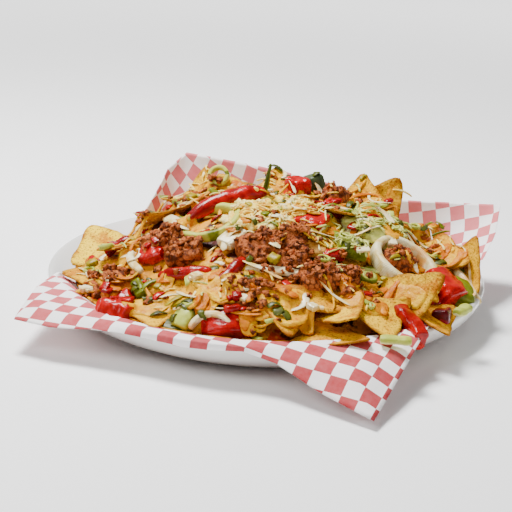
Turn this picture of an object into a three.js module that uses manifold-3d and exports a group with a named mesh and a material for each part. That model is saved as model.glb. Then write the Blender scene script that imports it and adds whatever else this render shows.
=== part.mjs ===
// A plate of loaded nachos: a white coupe plate, a checked paper liner, a heap of tortilla chips
// and the meat, chillies, peppers, onion, tomato, greens and cheese that lie on it.
// Millimetres, +Z up. The plate stands on z = 0, and the whole thing's box is centred on the origin.
import * as THREE from "three";
import { mergeVertices } from "three/addons/utils/BufferGeometryUtils.js";
import Module from "manifold-3d";

const wasm = await Module();
wasm.setup();

// Driving dimensions
const PLATE_RADIUS = 165;
const RIM_HEIGHT = 27.3;
const FOOT_RADIUS = 136;
const PLATE_SEGMENTS = 48;
const PAPER_THICKNESS = 0.6;
const PAPER_REST = 0.75; // from the glaze to the underside of the paper
const LIP_LEVEL = RIM_HEIGHT + 1.1; // where the paper's middle passes over the lip
const HEAP_CENTRE_X = 12;
const HEAP_EDGE_HEIGHT = 19;
const HEAP_RISE = 63;
const HEAP_SPREAD = 155;
const CORE_DROP = 5; // the core lies this far below the food's own surface
const CHIP_SIDE = 56;
const CHIP_THICKNESS = 2.4;
const CHIP_COUNT = 24;
const GAP = 0.35; // left between pieces that touch
const PLATE_PLACE = [-9, 30]; // the plate's centre, so that the whole box is centred

// Radius and height of the plate's glazed top, from the middle outwards
const PLATE_TOP = [
  [0, 6], [90, 6.5], [110, 8.3], [130, 13.2], [150, 21.8], [160.5, RIM_HEIGHT - 0.1], [163.4, RIM_HEIGHT],
];
// Radius and height of the plate's underside and outer wall, from the middle outwards
const PLATE_UNDER = [
  [0, 1.6], [112, 1.6], [115, 0], [FOOT_RADIUS, 0], [139, 2], [150, 7],
  [160, 14], [164, 20], [PLATE_RADIUS, 24], [PLATE_RADIUS, 26],
];

// Where the paper's edge runs, as x, y and height, once round from the front corner.
// A height of 0 means that the paper lies on the plate there.
const PAPER_EDGE = [
  [69, -225, 6], [109, -127, 28.6], [114, -111, 28.4], [129, -77, 0], [150, -22, 0],
  [163, 6, 31], [178, 38, 46], [187, 70, 64], [150, 84, 60], [108, 98, 57], [60, 116, 62],
  [8, 134, 69], [-40, 150, 73], [-79, 165, 75], [-102, 92, 42], [-111, 68, 30], [-119, 42, 0],
  [-126, 15, 0], [-143, -22, 0], [-154, -36, 28.4], [-161, -50, 28.6], [-171, -125, 22],
  [-121, -137, 25], [-87, -146, 25], [-50, -161.5, 23], [2, -169.5, 26], [12, -181, 18],
];
const PAPER_SPOKES = 50;

// Chips that stand or lie by themselves: x, y, rise above the heap, side,
// turn in its own plane, lean from level and the direction that it leans to, in degrees
const PLACED_CHIPS = [
  [-127, 8, 4, 55, 44, 24, 247],
  [-125, -45, 3, 47, 107, 12, 232],
  [-56, 43, 1, 51, 256, 48, 225],
  [86, 34, 3, 50, 90, 62, 258],
  [72, 24, 5, 46, 122, 24, 263],
  [149, -24, 8, 46, 0, 76, 214],
  [98, -101, 6, 52, 74, 50, 236],
  [77, -124, 6, 49, 40, 25, 303],
  [44, -142, 1, 54, 188, 3, 197],
  [50, -131, 6, 44, 156, 14, 191],
  [14, -129, 5, 52, 35, 32, 299],
  [-76, -114, 2, 46, 83, 14, 254],
  [-31, -108, 2, 44, 74, 23, 263],
  [116, -106, 2, 42, 19, 25, 328],
  [-101, -81, 1, 44, 24, 25, 320],
  [-7, -113, 1, 44, 54, 33, 305],
  [130, -14, 1, 46, 10, 24, 250],
  [-28, 30, 0, 44, 30, 28, 270],
];

// Shapes of the toppings' kinds, as shares of a piece's own length, width and height
const KINDS = {
  clump: { stations: 5, sides: 7, ends: 0.42, square: 0.9, lumps: 0.16 },
  chilli: { stations: 8, sides: 6, ends: 0.22, square: 1, lumps: 0.03 },
  strip: { stations: 5, sides: 4, ends: 0.6, square: 1, lumps: 0.02 },
  block: { stations: 4, sides: 4, ends: 0.8, square: 1, lumps: 0.05 },
  slice: { stations: 5, sides: 4, ends: 0.45, square: 1, lumps: 0 },
  ring: { stations: 12, sides: 4, ends: 1, square: 1, lumps: 0.02, loop: true },
  patch: { stations: 7, sides: 9, ends: 0.4, square: 0.8, lumps: 0.14 },
};

// Toppings, in the order of TOPPING_FIELDS. Rise is above the heap, turn, bend and tip are in
// degrees, hump is the bow over the length, and growth is how much thicker the far end is.
// The first ones keep their whole shape, and later ones are cut where they meet.
const TOPPING_FIELDS = [
  "name", "kind", "x", "y", "rise", "length", "width", "height", "turn", "bend", "hump", "growth", "tip",
];
const TOPPINGS = [
  ["red_chilli_1", "chilli", -32, -11, 3, 66, 15, 13, 25, -16, 4, 0.3],
  ["chilli_stem", "chilli", -2, 16, 9, 28, 3.6, 3.6, 10, 0, 0, -0.2, 76],
  ["tomato_piece_1", "block", 21, 20, 3, 17, 16, 17, 30, 0, 0, 0],
  ["cucumber_cube", "block", 31, 31, 5, 22, 17, 16, 18, 0, 0, 0, 24],
  ["green_ring_1", "ring", -40, 40, 16, 14, 3.4, 5, 90, 0, 0, 0, 60],
  ["onion_ring_1", "ring", 98, -62, 1, 46, 6, 11, -60, 0, 0, 0],
  ["meat_piece_1", "clump", 93, -63, 2, 22, 17, 12, 20, 0, 0, 0],
  ["pepper_ring_1", "ring", -42, -38, 1, 42, 5.6, 8, 10, 0, 0, 0],
  ["red_chilli_2", "chilli", -57, -90, 2, 42, 9, 8, -12, 24, 3, 0.1],
  ["red_chilli_3", "chilli", -27, -101, 2, 40, 10, 9, 50, 40, 3, 0.2],
  ["red_wedge_1", "block", 96, -119, 3, 40, 13, 18, -58, -14, 2, 0],
  ["tomato_piece_2", "block", 128, -62, 2, 28, 24, 14, -40, 0, 1, 0.1],
  ["tomato_piece_3", "block", 31, -45, 1, 23, 21, 11, -20, 0, 0, 0],
  ["tomato_piece_4", "strip", 50, -19, 2, 27, 10, 9, -4, 0, 1, 0],
  ["tomato_piece_5", "block", -101, -112, 3, 27, 17, 14, -34, 0, 0, 0],
  ["tomato_piece_6", "strip", -106, -90, 2, 28, 12, 9, 8, 0, 1, 0],
  ["tomato_piece_7", "block", -82, -58, 2, 20, 13, 10, -18, 0, 0, 0],
  ["red_pepper_1", "strip", -131, -15, 2, 30, 9, 7, -58, 0, 1, 0],
  ["red_pepper_2", "strip", -112, -15, 3, 22, 8, 7, 8, 0, 1, 0],
  ["red_pepper_3", "block", -27, -137, 2, 30, 18, 13, 4, 0, 2, 0],
  ["red_pepper_4", "block", -11, -138, 1, 14, 11, 10, -50, 0, 0, 0],
  ["red_pepper_5", "strip", 46, -81, 3, 17, 8, 7, 14, 0, 0, 0],
  ["red_pepper_6", "block", 113, -86, 2, 18, 15, 10, -64, 0, 0, 0],
  ["beet_piece_1", "block", 124, -96, 1, 24, 12, 11, 76, 0, 0, 0],
  ["cheese_mass", "patch", 2, -36, -1, 62, 42, 10, -8, 0, 3, 0],
  ["meat_piece_2", "clump", -6, -78, 1, 30, 30, 14, 30, 0, 1, 0],
  ["meat_piece_3", "clump", 18, -72, 1, 27, 26, 14, 110, 0, 1, 0],
  ["meat_piece_4", "clump", 16, -92, 0, 28, 18, 11, 10, 0, 1, 0],
  ["meat_piece_5", "clump", -75, -46, 2, 36, 22, 13, 20, 0, 1, 0],
  ["meat_piece_6", "clump", -59, -68, 1, 27, 20, 12, 0, 0, 1, 0],
  ["meat_piece_7", "clump", -113, -66, 2, 30, 21, 12, 16, 0, 1, 0],
  ["meat_piece_8", "clump", -9, -125, 1, 23, 15, 10, -16, 0, 0, 0],
  ["meat_piece_9", "clump", 36, -103, 2, 28, 23, 14, 24, 0, 1, 0],
  ["meat_piece_10", "clump", 57, -97, 1, 15, 14, 10, 0, 0, 0, 0],
  ["meat_piece_11", "clump", 49, 4, 4, 20, 17, 13, -20, 0, 0, 0],
  ["cabbage_mass", "patch", 78, -27, 0, 46, 40, 11, -30, 0, 3, 0],
  ["onion_strip_1", "strip", 6, -101, 3, 42, 6.5, 4, -8, 10, 2, 0],
  ["onion_strip_2", "strip", -95, -58, 3, 34, 6, 5, -76, 40, 2, 0],
  ["onion_strip_3", "strip", -69, -20, 2, 40, 9, 6, -62, 16, 2, 0],
  ["onion_strip_4", "strip", -36, -139, 9, 34, 4.5, 5, 0, -130, 2, 0],
  ["onion_strip_5", "strip", 20, -125, 3, 24, 6, 6, -84, -90, 1, 0],
  ["onion_strip_6", "strip", 148, -40, 2, 38, 5, 6, -56, 10, 1, 0],
  ["onion_piece_1", "block", -25, -64, 1, 19, 15, 8, 50, 0, 0, 0],
  ["green_onion_slice", "slice", 14, -123, 4, 13, 13, 5, 0, 0, 0, 0],
  ["green_onion_piece_1", "block", -54, -128, 2, 15, 13, 11, 60, 0, 0, 0],
  ["green_onion_piece_2", "block", -50, -100, 2, 11, 10, 8, 10, 0, 0, 0],
  ["green_onion_piece_3", "slice", 68, -13, 5, 16, 15, 7, 20, 0, 0, 0],
  ["mushroom_slice", "slice", 30, -80, 4, 22, 16, 6, 16, 0, 0, 0],
  ["jalapeno_slice_1", "slice", 70, -93, 3, 14, 9, 4.5, 0, 0, 0, 0],
  ["jalapeno_slice_2", "slice", -124, -60, 3, 13, 10, 4.5, 20, 0, 0, 0],
  ["green_pepper_1", "block", 60, -70, 3, 21, 17, 10, 0, 0, 0, 0],
  ["green_pepper_2", "strip", 142, -54, 1, 26, 18, 12, -70, 0, 1, 0],
  ["green_pepper_3", "block", 148, -14, 2, 18, 14, 9, -60, 0, 0, 0],
  ["green_pepper_4", "block", -88, -90, 2, 18, 8, 9, -80, 0, 0, 0],
  ["green_leaf_1", "strip", -68, -128, 2, 30, 13, 6, -14, 0, 2, 0],
  ["lettuce_piece_1", "strip", 137, -98, 4, 16, 9, 6, 50, 0, 0, 0],
  ["celery_piece_1", "strip", 86, -155, 2.6, 21, 9, 5, -4, 0, 0, 0],
];

// The look of each sort of piece, found by the words in its name
const LOOKS = [
  ["plate", 0xf2f0ec, 0.15],
  ["paper_liner", 0xf0c9c6, 0.85],
  ["chip_heap", 0xd9a441, 0.7],
  ["red_", 0xb31414, 0.3],
  ["tomato", 0xc4281c, 0.3],
  ["beet", 0x5c1020, 0.35],
  ["meat", 0x6b3820, 0.75],
  ["cheese", 0xf0d48a, 0.5],
  ["cabbage", 0xdfe3b8, 0.6],
  ["onion", 0xf2ecdc, 0.4],
  ["mushroom", 0xc99a4a, 0.6],
  ["stem", 0x4a5224, 0.7],
  ["", 0x6c8a2c, 0.45],
];

const rad = THREE.MathUtils.degToRad;
const fraction = (value) => value - Math.floor(value);
const mix = (a, b, t) => a + (b - a) * t;

// The value at x of a table of [x, value] rows, straight between rows.
function tableValue(rows, x) {
  let i = 1;
  while (i < rows.length - 1 && rows[i][0] < x) i += 1;
  const [x0, y0] = rows[i - 1];
  const [x1, y1] = rows[i];
  return mix(y0, y1, Math.min(1, Math.max(0, (x - x0) / (x1 - x0))));
}

const plateTop = (r) => tableValue(PLATE_TOP, r);

// Height of the paper's middle where it lies on the plate or crosses the lip.
function paperLevel(r) {
  const onPlate = plateTop(r) + PAPER_REST + PAPER_THICKNESS / 2;
  return r > 156 ? LIP_LEVEL : Math.min(LIP_LEVEL, onPlate);
}

// Height of the food's surface: a low dome over the plate.
function foodHeight(x, y) {
  const share = Math.hypot(x - HEAP_CENTRE_X, y) / HEAP_SPREAD;
  const dome = HEAP_EDGE_HEIGHT + HEAP_RISE * (1 - share * share);
  return Math.max(dome, plateTop(Math.hypot(x, y)) + 2);
}

// A geometry from points and faces, turned so that its faces point out.
function closedGeometry(points, faces) {
  let volume = 0;
  for (let i = 0; i < faces.length; i += 3) {
    const [a, b, c] = [points[faces[i]], points[faces[i + 1]], points[faces[i + 2]]];
    volume += a.dot(b.clone().cross(c));
  }
  const index = volume < 0 ? faces.slice().reverse() : faces;
  const geometry = new THREE.BufferGeometry();
  const flat = points.flatMap((p) => [p.x, p.y, p.z]);
  geometry.setAttribute("position", new THREE.Float32BufferAttribute(flat, 3));
  geometry.setIndex(index);
  return geometry;
}

// A closed skin over rings of points: fans close its two ends, or the last ring meets the first.
// The fans meet at the hubs that are given, or else in the middle of their ring.
function skin(rings, isLoop, hubs = []) {
  const count = rings[0].length;
  const points = rings.flat();
  const faces = [];
  const bands = isLoop ? rings.length : rings.length - 1;
  for (let i = 0; i < bands; i += 1) {
    const near = i * count;
    const far = ((i + 1) % rings.length) * count;
    for (let j = 0; j < count; j += 1) {
      const k = (j + 1) % count;
      faces.push(near + j, near + k, far + k, near + j, far + k, far + j);
    }
  }
  if (!isLoop) {
    [0, rings.length - 1].forEach((ring, side) => {
      const middle = rings[ring].reduce((sum, p) => sum.add(p), new THREE.Vector3());
      points.push(hubs[side] || middle.divideScalar(count));
      const hub = points.length - 1;
      for (let j = 0; j < count; j += 1) {
        const [a, b] = [ring * count + j, ring * count + ((j + 1) % count)];
        faces.push(...(side === 0 ? [hub, b, a] : [hub, a, b]));
      }
    });
  }
  return closedGeometry(points, faces);
}

// Joined and cut solids
function toSolid(geometry) {
  const bare = geometry.clone();
  bare.deleteAttribute("normal");
  bare.deleteAttribute("uv");
  const merged = mergeVertices(bare, 1e-4);
  const vertProperties = new Float32Array(merged.attributes.position.array);
  const triVerts = new Uint32Array(merged.index.array);
  return new wasm.Manifold(new wasm.Mesh({ numProp: 3, vertProperties, triVerts }));
}

function toGeometry(solid) {
  const mesh = solid.getMesh();
  const geometry = new THREE.BufferGeometry();
  geometry.setAttribute("position", new THREE.Float32BufferAttribute(mesh.vertProperties, 3));
  geometry.setIndex(new THREE.Uint32BufferAttribute(mesh.triVerts, 1));
  return geometry;
}

// The largest body of a solid: loose scraps are dropped.
function largestBody(solid) {
  return solid.decompose().reduce((best, body) => (body.volume() > best.volume() ? body : best));
}

// The plate: its profile turned round the z axis.
function plateGeometry(grow) {
  const under = PLATE_UNDER.map(([r, z]) => new THREE.Vector2(r > FOOT_RADIUS ? r + grow : r, z));
  const top = PLATE_TOP.map(([r, z]) => new THREE.Vector2(r, z + grow));
  return new THREE.LatheGeometry([...under, ...top.reverse()], PLATE_SEGMENTS).rotateX(Math.PI / 2);
}

// Where a ray from the plate's centre meets the paper's edge: radius and height.
function paperEdgeAt(angle) {
  const ray = new THREE.Vector2(Math.cos(angle), Math.sin(angle));
  for (let i = 0; i < PAPER_EDGE.length; i += 1) {
    const [ax, ay, az] = PAPER_EDGE[i];
    const [bx, by, bz] = PAPER_EDGE[(i + 1) % PAPER_EDGE.length];
    const a = new THREE.Vector2(ax, ay);
    const b = new THREE.Vector2(bx, by);
    const [before, after] = [ray.cross(a), ray.cross(b)];
    if (before <= 0 && after > 0 && ray.dot(a) > 0) {
      const t = before / (before - after);
      const r = a.lerp(b, t).length();
      const [za, zb] = [az || paperLevel(Math.hypot(ax, ay)), bz || paperLevel(Math.hypot(bx, by))];
      return { r, z: mix(za, zb, t) };
    }
  }
  throw new Error("the paper's edge doesn't go all the way round");
}

// The paper's middle along one ray, as radius and height pairs, from the centre to its edge.
function paperSpoke(angle) {
  const edge = paperEdgeAt(angle);
  const onPlate = edge.r < 162;
  if (!onPlate) edge.r = Math.max(edge.r, 168.6);
  const lift = edge.z - (onPlate ? paperLevel(edge.r) : LIP_LEVEL);
  const stands = lift > 3;
  const onPlateEnd = edge.r > 155 ? 4 : 12;
  const leaves = Math.min(157, edge.r - (stands ? Math.max(9, 0.2 * lift) : onPlateEnd));
  const spoke = [0.32, 0.58, 0.76, 0.9, 1].map((share) => [share * leaves, paperLevel(share * leaves)]);
  if (stands) {
    for (const share of [0.25, 0.5, 0.75, 1]) {
      const rise = mix(share, share * share, 0.25);
      spoke.push([mix(leaves, edge.r, share), mix(spoke[4][1], edge.z, rise)]);
    }
  } else if (onPlate) {
    for (const share of [0.25, 0.5, 0.75, 1]) {
      const r = mix(leaves, edge.r, share);
      spoke.push([r, Math.max(paperLevel(r), mix(paperLevel(leaves), edge.z, share))]);
    }
  } else {
    const sag = 0.07 * (edge.r - 167.6);
    spoke.push([162.5, LIP_LEVEL + 0.3], [167.6, Math.max(LIP_LEVEL - 0.2, edge.z)]);
    spoke.push([mix(167.6, edge.r, 0.5) + 0.3, mix(LIP_LEVEL, edge.z, 0.5) + sag], [edge.r, edge.z]);
  }
  return spoke;
}

const paperAngles = Array.from({ length: PAPER_SPOKES }, (_, i) => rad(-73 + (360 * i) / PAPER_SPOKES));
const paperSpokes = paperAngles.map(paperSpoke);

// A spoke's point moved off the paper's middle, along the normal of its profile.
function paperPoint(index, ring, offset) {
  const spoke = paperSpokes[index];
  const [r, z] = spoke[ring];
  const inner = spoke[Math.max(ring - 1, 0)];
  const outer = spoke[Math.min(ring + 1, spoke.length - 1)];
  const along = new THREE.Vector2(outer[0] - inner[0], outer[1] - inner[1]).normalize();
  const at = r - along.y * offset;
  const angle = paperAngles[index];
  return new THREE.Vector3(at * Math.cos(angle), at * Math.sin(angle), z + along.x * offset);
}

// One face of the paper, from its middle point out to its edge.
function paperFace(offset) {
  const rings = [];
  for (let ring = 0; ring < paperSpokes[0].length; ring += 1) {
    rings.push(paperAngles.map((_, index) => paperPoint(index, ring, offset)));
  }
  return rings;
}

function paperGeometry() {
  const top = paperFace(PAPER_THICKNESS / 2);
  const under = paperFace(-PAPER_THICKNESS / 2);
  return skin([...top, ...under.reverse()], false);
}

// Everything under the paper's top: pieces are cut by it so that they lie on the paper.
function underPaper() {
  const top = paperFace(PAPER_THICKNESS / 2 + GAP);
  const out = paperAngles.map((angle) => new THREE.Vector3(Math.cos(angle), Math.sin(angle), 0));
  const edge = top[top.length - 1].map((p, i) => p.clone().addScaledVector(out[i], 1.6));
  const floor = edge.map((p) => new THREE.Vector3(p.x, p.y, -40));
  return toSolid(skin([...top, edge, floor], false));
}

// The heap's edge radius along one ray: inside the paper where that stands up.
function heapEdge(index) {
  const [[leaves], [, level], [, height]] = [4, 4, 8].map((ring) => paperSpokes[index][ring]);
  const open = 149 + 4 * Math.sin(paperAngles[index] * 3 + 1.2);
  return height - level > 6 && leaves < 156 ? Math.min(open, leaves - 4) : open;
}

// Height of the paper's middle at radius r, the highest of one ray and the rays beside it.
function paperHeight(index, r) {
  const near = [-1, 0, 1].map((step) => paperSpokes.at((index + step) % PAPER_SPOKES));
  const heights = near.filter((spoke) => spoke[4][0] > r).map((spoke) => tableValue(spoke, r));
  return Math.max(paperLevel(r), tableValue(paperSpokes[index], r), ...heights);
}

// The heap's core: a closed dome over the paper, a little below the food's surface.
function coreGeometry(grow) {
  const shares = [0.2, 0.4, 0.58, 0.74, 0.88, 1];
  const top = shares.map((share) => paperAngles.map((angle, index) => {
    const r = heapEdge(index) * share;
    const [x, y] = [r * Math.cos(angle), r * Math.sin(angle)];
    const swell = 1.6 * Math.sin(x / 13 + 1) * Math.cos(y / 11) * (1 - share);
    const z = Math.max(foodHeight(x, y) - CORE_DROP + swell, paperHeight(index, r) + 3.4);
    return new THREE.Vector3(x, y, z + grow);
  }));
  const under = [1, 0.74, 0.4].map((share) => paperAngles.map((angle, index) => {
    const r = heapEdge(index) * share;
    return new THREE.Vector3(r * Math.cos(angle), r * Math.sin(angle), paperHeight(index, r) + 1.6);
  }));
  return skin([...top, ...under], false);
}

// A turned frame: its z axis is the normal, its x axis points along turn as seen from above.
function frameAt(position, normal, turn) {
  const z = normal.clone().normalize();
  const heading = new THREE.Vector3(Math.cos(turn), Math.sin(turn), 0);
  const x = heading.sub(z.clone().multiplyScalar(heading.dot(z))).normalize();
  const y = z.clone().cross(x);
  return new THREE.Matrix4().makeBasis(x, y, z).setPosition(position);
}

function foodNormal(x, y) {
  const step = 4;
  const dx = foodHeight(x + step, y) - foodHeight(x - step, y);
  const dy = foodHeight(x, y + step) - foodHeight(x, y - step);
  return new THREE.Vector3(-dx, -dy, 2 * step).normalize();
}

// A tortilla chip: a rounded triangle, bowed across, with both faces alike.
function chipGeometry(side, bow) {
  const outline = [];
  for (let corner = 0; corner < 3; corner += 1) {
    for (const swing of [-11, 11]) {
      const angle = rad(120 * corner + swing);
      outline.push([0.53 * side * Math.cos(angle), 0.53 * side * Math.sin(angle)]);
    }
  }
  const bowed = (y) => 4 * bow * ((y * y) / (side * side));
  const face = (lift) => outline.map(([x, y]) => new THREE.Vector3(x, y, lift + bowed(y)));
  const half = CHIP_THICKNESS / 2;
  const hubs = [half, -half].map((lift) => new THREE.Vector3(0, 0, lift));
  return skin([face(half), face(-half)], false, hubs);
}

// The chips that fill the heap: a sunflower spiral, so that they lie evenly but never in rows.
function heapChip(i) {
  const angle = rad(fraction(i * 0.381966) * 360 - 73);
  const index = Math.floor(fraction(i * 0.381966) * PAPER_SPOKES);
  const reach = Math.sqrt((i + 0.5) / CHIP_COUNT) * 0.86;
  const r = heapEdge(index) * reach;
  const [x, y] = [r * Math.cos(angle), r * Math.sin(angle)];
  const swing = rad(fraction(i * 0.7548) * 360);
  const normal = foodNormal(x, y);
  const [slope, sway] = reach > 0.6 ? [0.4, 0.2] : [1, 0.36];
  normal.multiply(new THREE.Vector3(slope, slope, 1));
  normal.add(new THREE.Vector3(sway * Math.cos(swing), sway * Math.sin(swing), 0));
  const position = new THREE.Vector3(x, y, foodHeight(x, y) - 1.5);
  const size = CHIP_SIDE * (0.86 + 0.26 * fraction(i * 0.5698));
  const chip = chipGeometry(size, 3 + 3 * fraction(i * 0.83));
  return chip.applyMatrix4(frameAt(position, normal, rad(360 * fraction(i * 0.618))));
}

function placedChip([x, y, rise, side, turn, lean, toward]) {
  const [away, height] = [rad(toward), foodHeight(x, y) + rise];
  const tilt = Math.sin(rad(lean));
  const normal = new THREE.Vector3(tilt * Math.cos(away), tilt * Math.sin(away), Math.cos(rad(lean)));
  const frame = frameAt(new THREE.Vector3(x, y, height), normal, away + Math.PI);
  return chipGeometry(side, 5).rotateZ(rad(turn)).applyMatrix4(frame);
}

// A number's sign times its size to a power: below 1, this squares off a circle's sine and cosine.
const squared = (value, power) => Math.sign(value) * Math.abs(value) ** power;

// A topping's body: squared-off sections along a line that may bend, hump, taper or close.
function bodyGeometry(piece, grow) {
  const { stations, sides, ends, square, lumps, loop } = KINDS[piece.kind];
  const rings = [];
  for (let i = 0; i < stations; i += 1) {
    const t = (2 * i) / (loop ? stations : stations - 1) - 1;
    const swell = loop ? 1 : mix(ends, 1, Math.sqrt(1 - t ** 4)) * (1 + piece.growth * t);
    const ring = [];
    for (let j = 0; j < sides; j += 1) {
      const around = (2 * Math.PI * (j + 0.5)) / sides;
      const wave = piece.seed * 5.3 + i * 2.4 + 2.2 * Math.sin(around * 2 + piece.seed);
      const half = (swell * (1 + lumps * Math.sin(wave))) / 2;
      const side = squared(Math.cos(around), square) * (piece.width * half + grow);
      const up = squared(Math.sin(around), square) * (piece.height * half + grow);
      ring.push(loop ? ringPoint(piece, t, side, up) : sectionPoint(piece, t, side, up, grow));
    }
    rings.push(ring);
  }
  return skin(rings, Boolean(loop));
}

// A point beside a full ring.
function ringPoint({ length }, t, side, up) {
  const reach = length / 2 - side;
  return new THREE.Vector3(reach * Math.sin(Math.PI * t), -reach * Math.cos(Math.PI * t), up);
}

// A point beside a middle line that is straight or an arc, and humped over its length.
function sectionPoint({ length, bend, hump }, t, side, up, grow) {
  const lift = up + hump * (0.4 - t * t);
  const along = (t * (length + 2 * grow)) / 2;
  if (bend === 0) return new THREE.Vector3(along, side, lift);
  const radius = length / rad(bend);
  const reach = radius - side;
  const centre = (radius * (1 + Math.cos(rad(bend) / 2))) / 2;
  return new THREE.Vector3(reach * Math.sin(along / radius), centre - reach * Math.cos(along / radius), lift);
}

// A topping where it lies: on the food's surface, turned, and tipped up if it stands.
function layTopping(geometry, { x, y, rise, turn, tip }) {
  const frame = frameAt(new THREE.Vector3(x, y, foodHeight(x, y) + rise), foodNormal(x, y), rad(turn));
  return geometry.rotateY(rad(-tip)).applyMatrix4(frame);
}

// A box round a topping, turned as it is: chips stop short of it.
function toppingRoom(piece) {
  const body = bodyGeometry(piece, GAP);
  body.computeBoundingBox();
  const size = body.boundingBox.getSize(new THREE.Vector3());
  const middle = body.boundingBox.getCenter(new THREE.Vector3());
  const box = new THREE.BoxGeometry(size.x, size.y, size.z);
  return toSolid(layTopping(box.translate(middle.x, middle.y, middle.z), piece));
}

// Toppings, each cut by what lies under it and by the ones before it
function layToppings(pieces, below) {
  let taken = below;
  return pieces.map((piece) => {
    const whole = toSolid(layTopping(bodyGeometry(piece, 0), piece));
    const body = largestBody(whole.subtract(taken));
    taken = taken.add(toSolid(layTopping(bodyGeometry(piece, GAP), piece)));
    return { name: piece.name, body };
  });
}

function lookOf(name) {
  const [, color, roughness] = LOOKS.find(([word]) => name.includes(word));
  return new THREE.MeshStandardMaterial({ color, roughness, metalness: 0 });
}

function namedMesh(name, geometry) {
  const mesh = new THREE.Mesh(geometry, lookOf(name));
  mesh.name = name;
  return mesh;
}

const pieces = TOPPINGS.map((row, seed) => {
  const fields = row.map((value, i) => [TOPPING_FIELDS[i], value]);
  return { tip: 0, ...Object.fromEntries(fields), seed };
});
const support = underPaper().add(toSolid(plateGeometry(GAP)));
const toppings = layToppings(pieces, support.add(toSolid(coreGeometry(GAP))));
const occupied = pieces.reduce((sum, piece) => sum.add(toppingRoom(piece)), support);

// What is left of a chip beside the toppings, or nothing where they hide most of it.
function trimmedChip(chip, leastShare) {
  const whole = toSolid(chip);
  const rest = whole.subtract(occupied);
  return rest.volume() > leastShare * whole.volume() ? [largestBody(rest)] : [];
}

const spiralChips = Array.from({ length: CHIP_COUNT }, (_, i) => heapChip(i));
const chips = [
  ...spiralChips.flatMap((chip) => trimmedChip(chip, 0.5)),
  ...PLACED_CHIPS.flatMap((row) => trimmedChip(placedChip(row), 0.2)),
];
const heap = chips.reduce((sum, chip) => sum.add(chip), toSolid(coreGeometry(0)));

const nachos = new THREE.Group();
nachos.add(namedMesh("plate", plateGeometry(0)));
nachos.add(namedMesh("paper_liner", paperGeometry()));
nachos.add(namedMesh("chip_heap", toGeometry(largestBody(heap))));
for (const { name, body } of toppings) nachos.add(namedMesh(name, toGeometry(body)));
nachos.position.set(PLATE_PLACE[0], PLATE_PLACE[1], 0);

export default nachos;
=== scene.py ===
import itertools
import math

import bpy
import numpy as np
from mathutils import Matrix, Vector
from mathutils.bvhtree import BVHTree


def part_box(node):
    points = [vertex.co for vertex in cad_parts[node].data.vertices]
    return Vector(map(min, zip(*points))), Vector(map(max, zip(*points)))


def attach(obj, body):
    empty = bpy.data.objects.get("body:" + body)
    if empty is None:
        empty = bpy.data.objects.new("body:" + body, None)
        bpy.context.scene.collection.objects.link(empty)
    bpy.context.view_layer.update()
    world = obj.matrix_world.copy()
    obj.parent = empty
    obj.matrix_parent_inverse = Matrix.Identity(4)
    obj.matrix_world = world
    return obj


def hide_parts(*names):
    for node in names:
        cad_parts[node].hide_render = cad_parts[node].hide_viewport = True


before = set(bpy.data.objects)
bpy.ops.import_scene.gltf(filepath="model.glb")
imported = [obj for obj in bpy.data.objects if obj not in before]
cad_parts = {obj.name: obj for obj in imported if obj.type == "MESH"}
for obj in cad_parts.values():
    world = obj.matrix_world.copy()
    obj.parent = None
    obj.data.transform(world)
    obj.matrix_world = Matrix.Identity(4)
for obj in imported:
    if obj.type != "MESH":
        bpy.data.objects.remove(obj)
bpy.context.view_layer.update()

# The plate of nachos is worked out in millimetres from the plate's centre, +Z up, as in the
# part's own source. MM and place() turn that into the frame's metres.
MM = 0.001
low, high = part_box("plate")
PLATE_AT = np.array([(low[0] + high[0]) / 2, (low[1] + high[1]) / 2, 0.0])

# Driving sizes, the same as the frame's
PLATE_RADIUS = 165.0
RIM_HEIGHT = 27.3
FOOT_RADIUS = 136.0
PAPER_REST = 0.75
PAPER_SOLID = 0.6
LIP_LEVEL = RIM_HEIGHT + 1.1
HEAP_CENTRE_X = 12.0
HEAP_EDGE_HEIGHT = 19.0
HEAP_RISE = 63.0
HEAP_SPREAD = 155.0
CORE_DROP = 5.0
EDGE_REACH, EDGE_BULGE, EDGE_GAP = 149, 4, 4
CHIP_SIDE = 56.0
CHIP_THICKNESS = 1.7
CHIP_COUNT = 24

# Radii at the plate's lip: where the paper turns level, lies on it, passes it and hangs free
LIP_TURN, LIP_INSIDE, LIP_REST, LIP_PASSED, LIP_FREE = 156, 162, 162.5, 167.6, 168.6
# The paper leaves the plate's top by LEAVES_BY, and over a short way where it ends past EDGE_NEAR
LEAVES_BY, EDGE_NEAR = 157, 155
# What the frame leaves to this script: the visible sheet's half thickness, its print, and its
# waves, which begin at a radius or a height and grow to their full strength over a span
PAPER_HALF = 0.14
CHECK_SIZE = 12.1
CHECK_TURN = math.radians(22.5)
PAPER_WAVE = 1.6
WAVE_RADIUS, WAVE_RADIUS_SPAN = 166, 20
WAVE_HEIGHT, WAVE_HEIGHT_SPAN = 34, 12
# Colours are given as they look on a screen; this power deepens them for the display's curve
COLOR_DEPTH = 1.4

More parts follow.
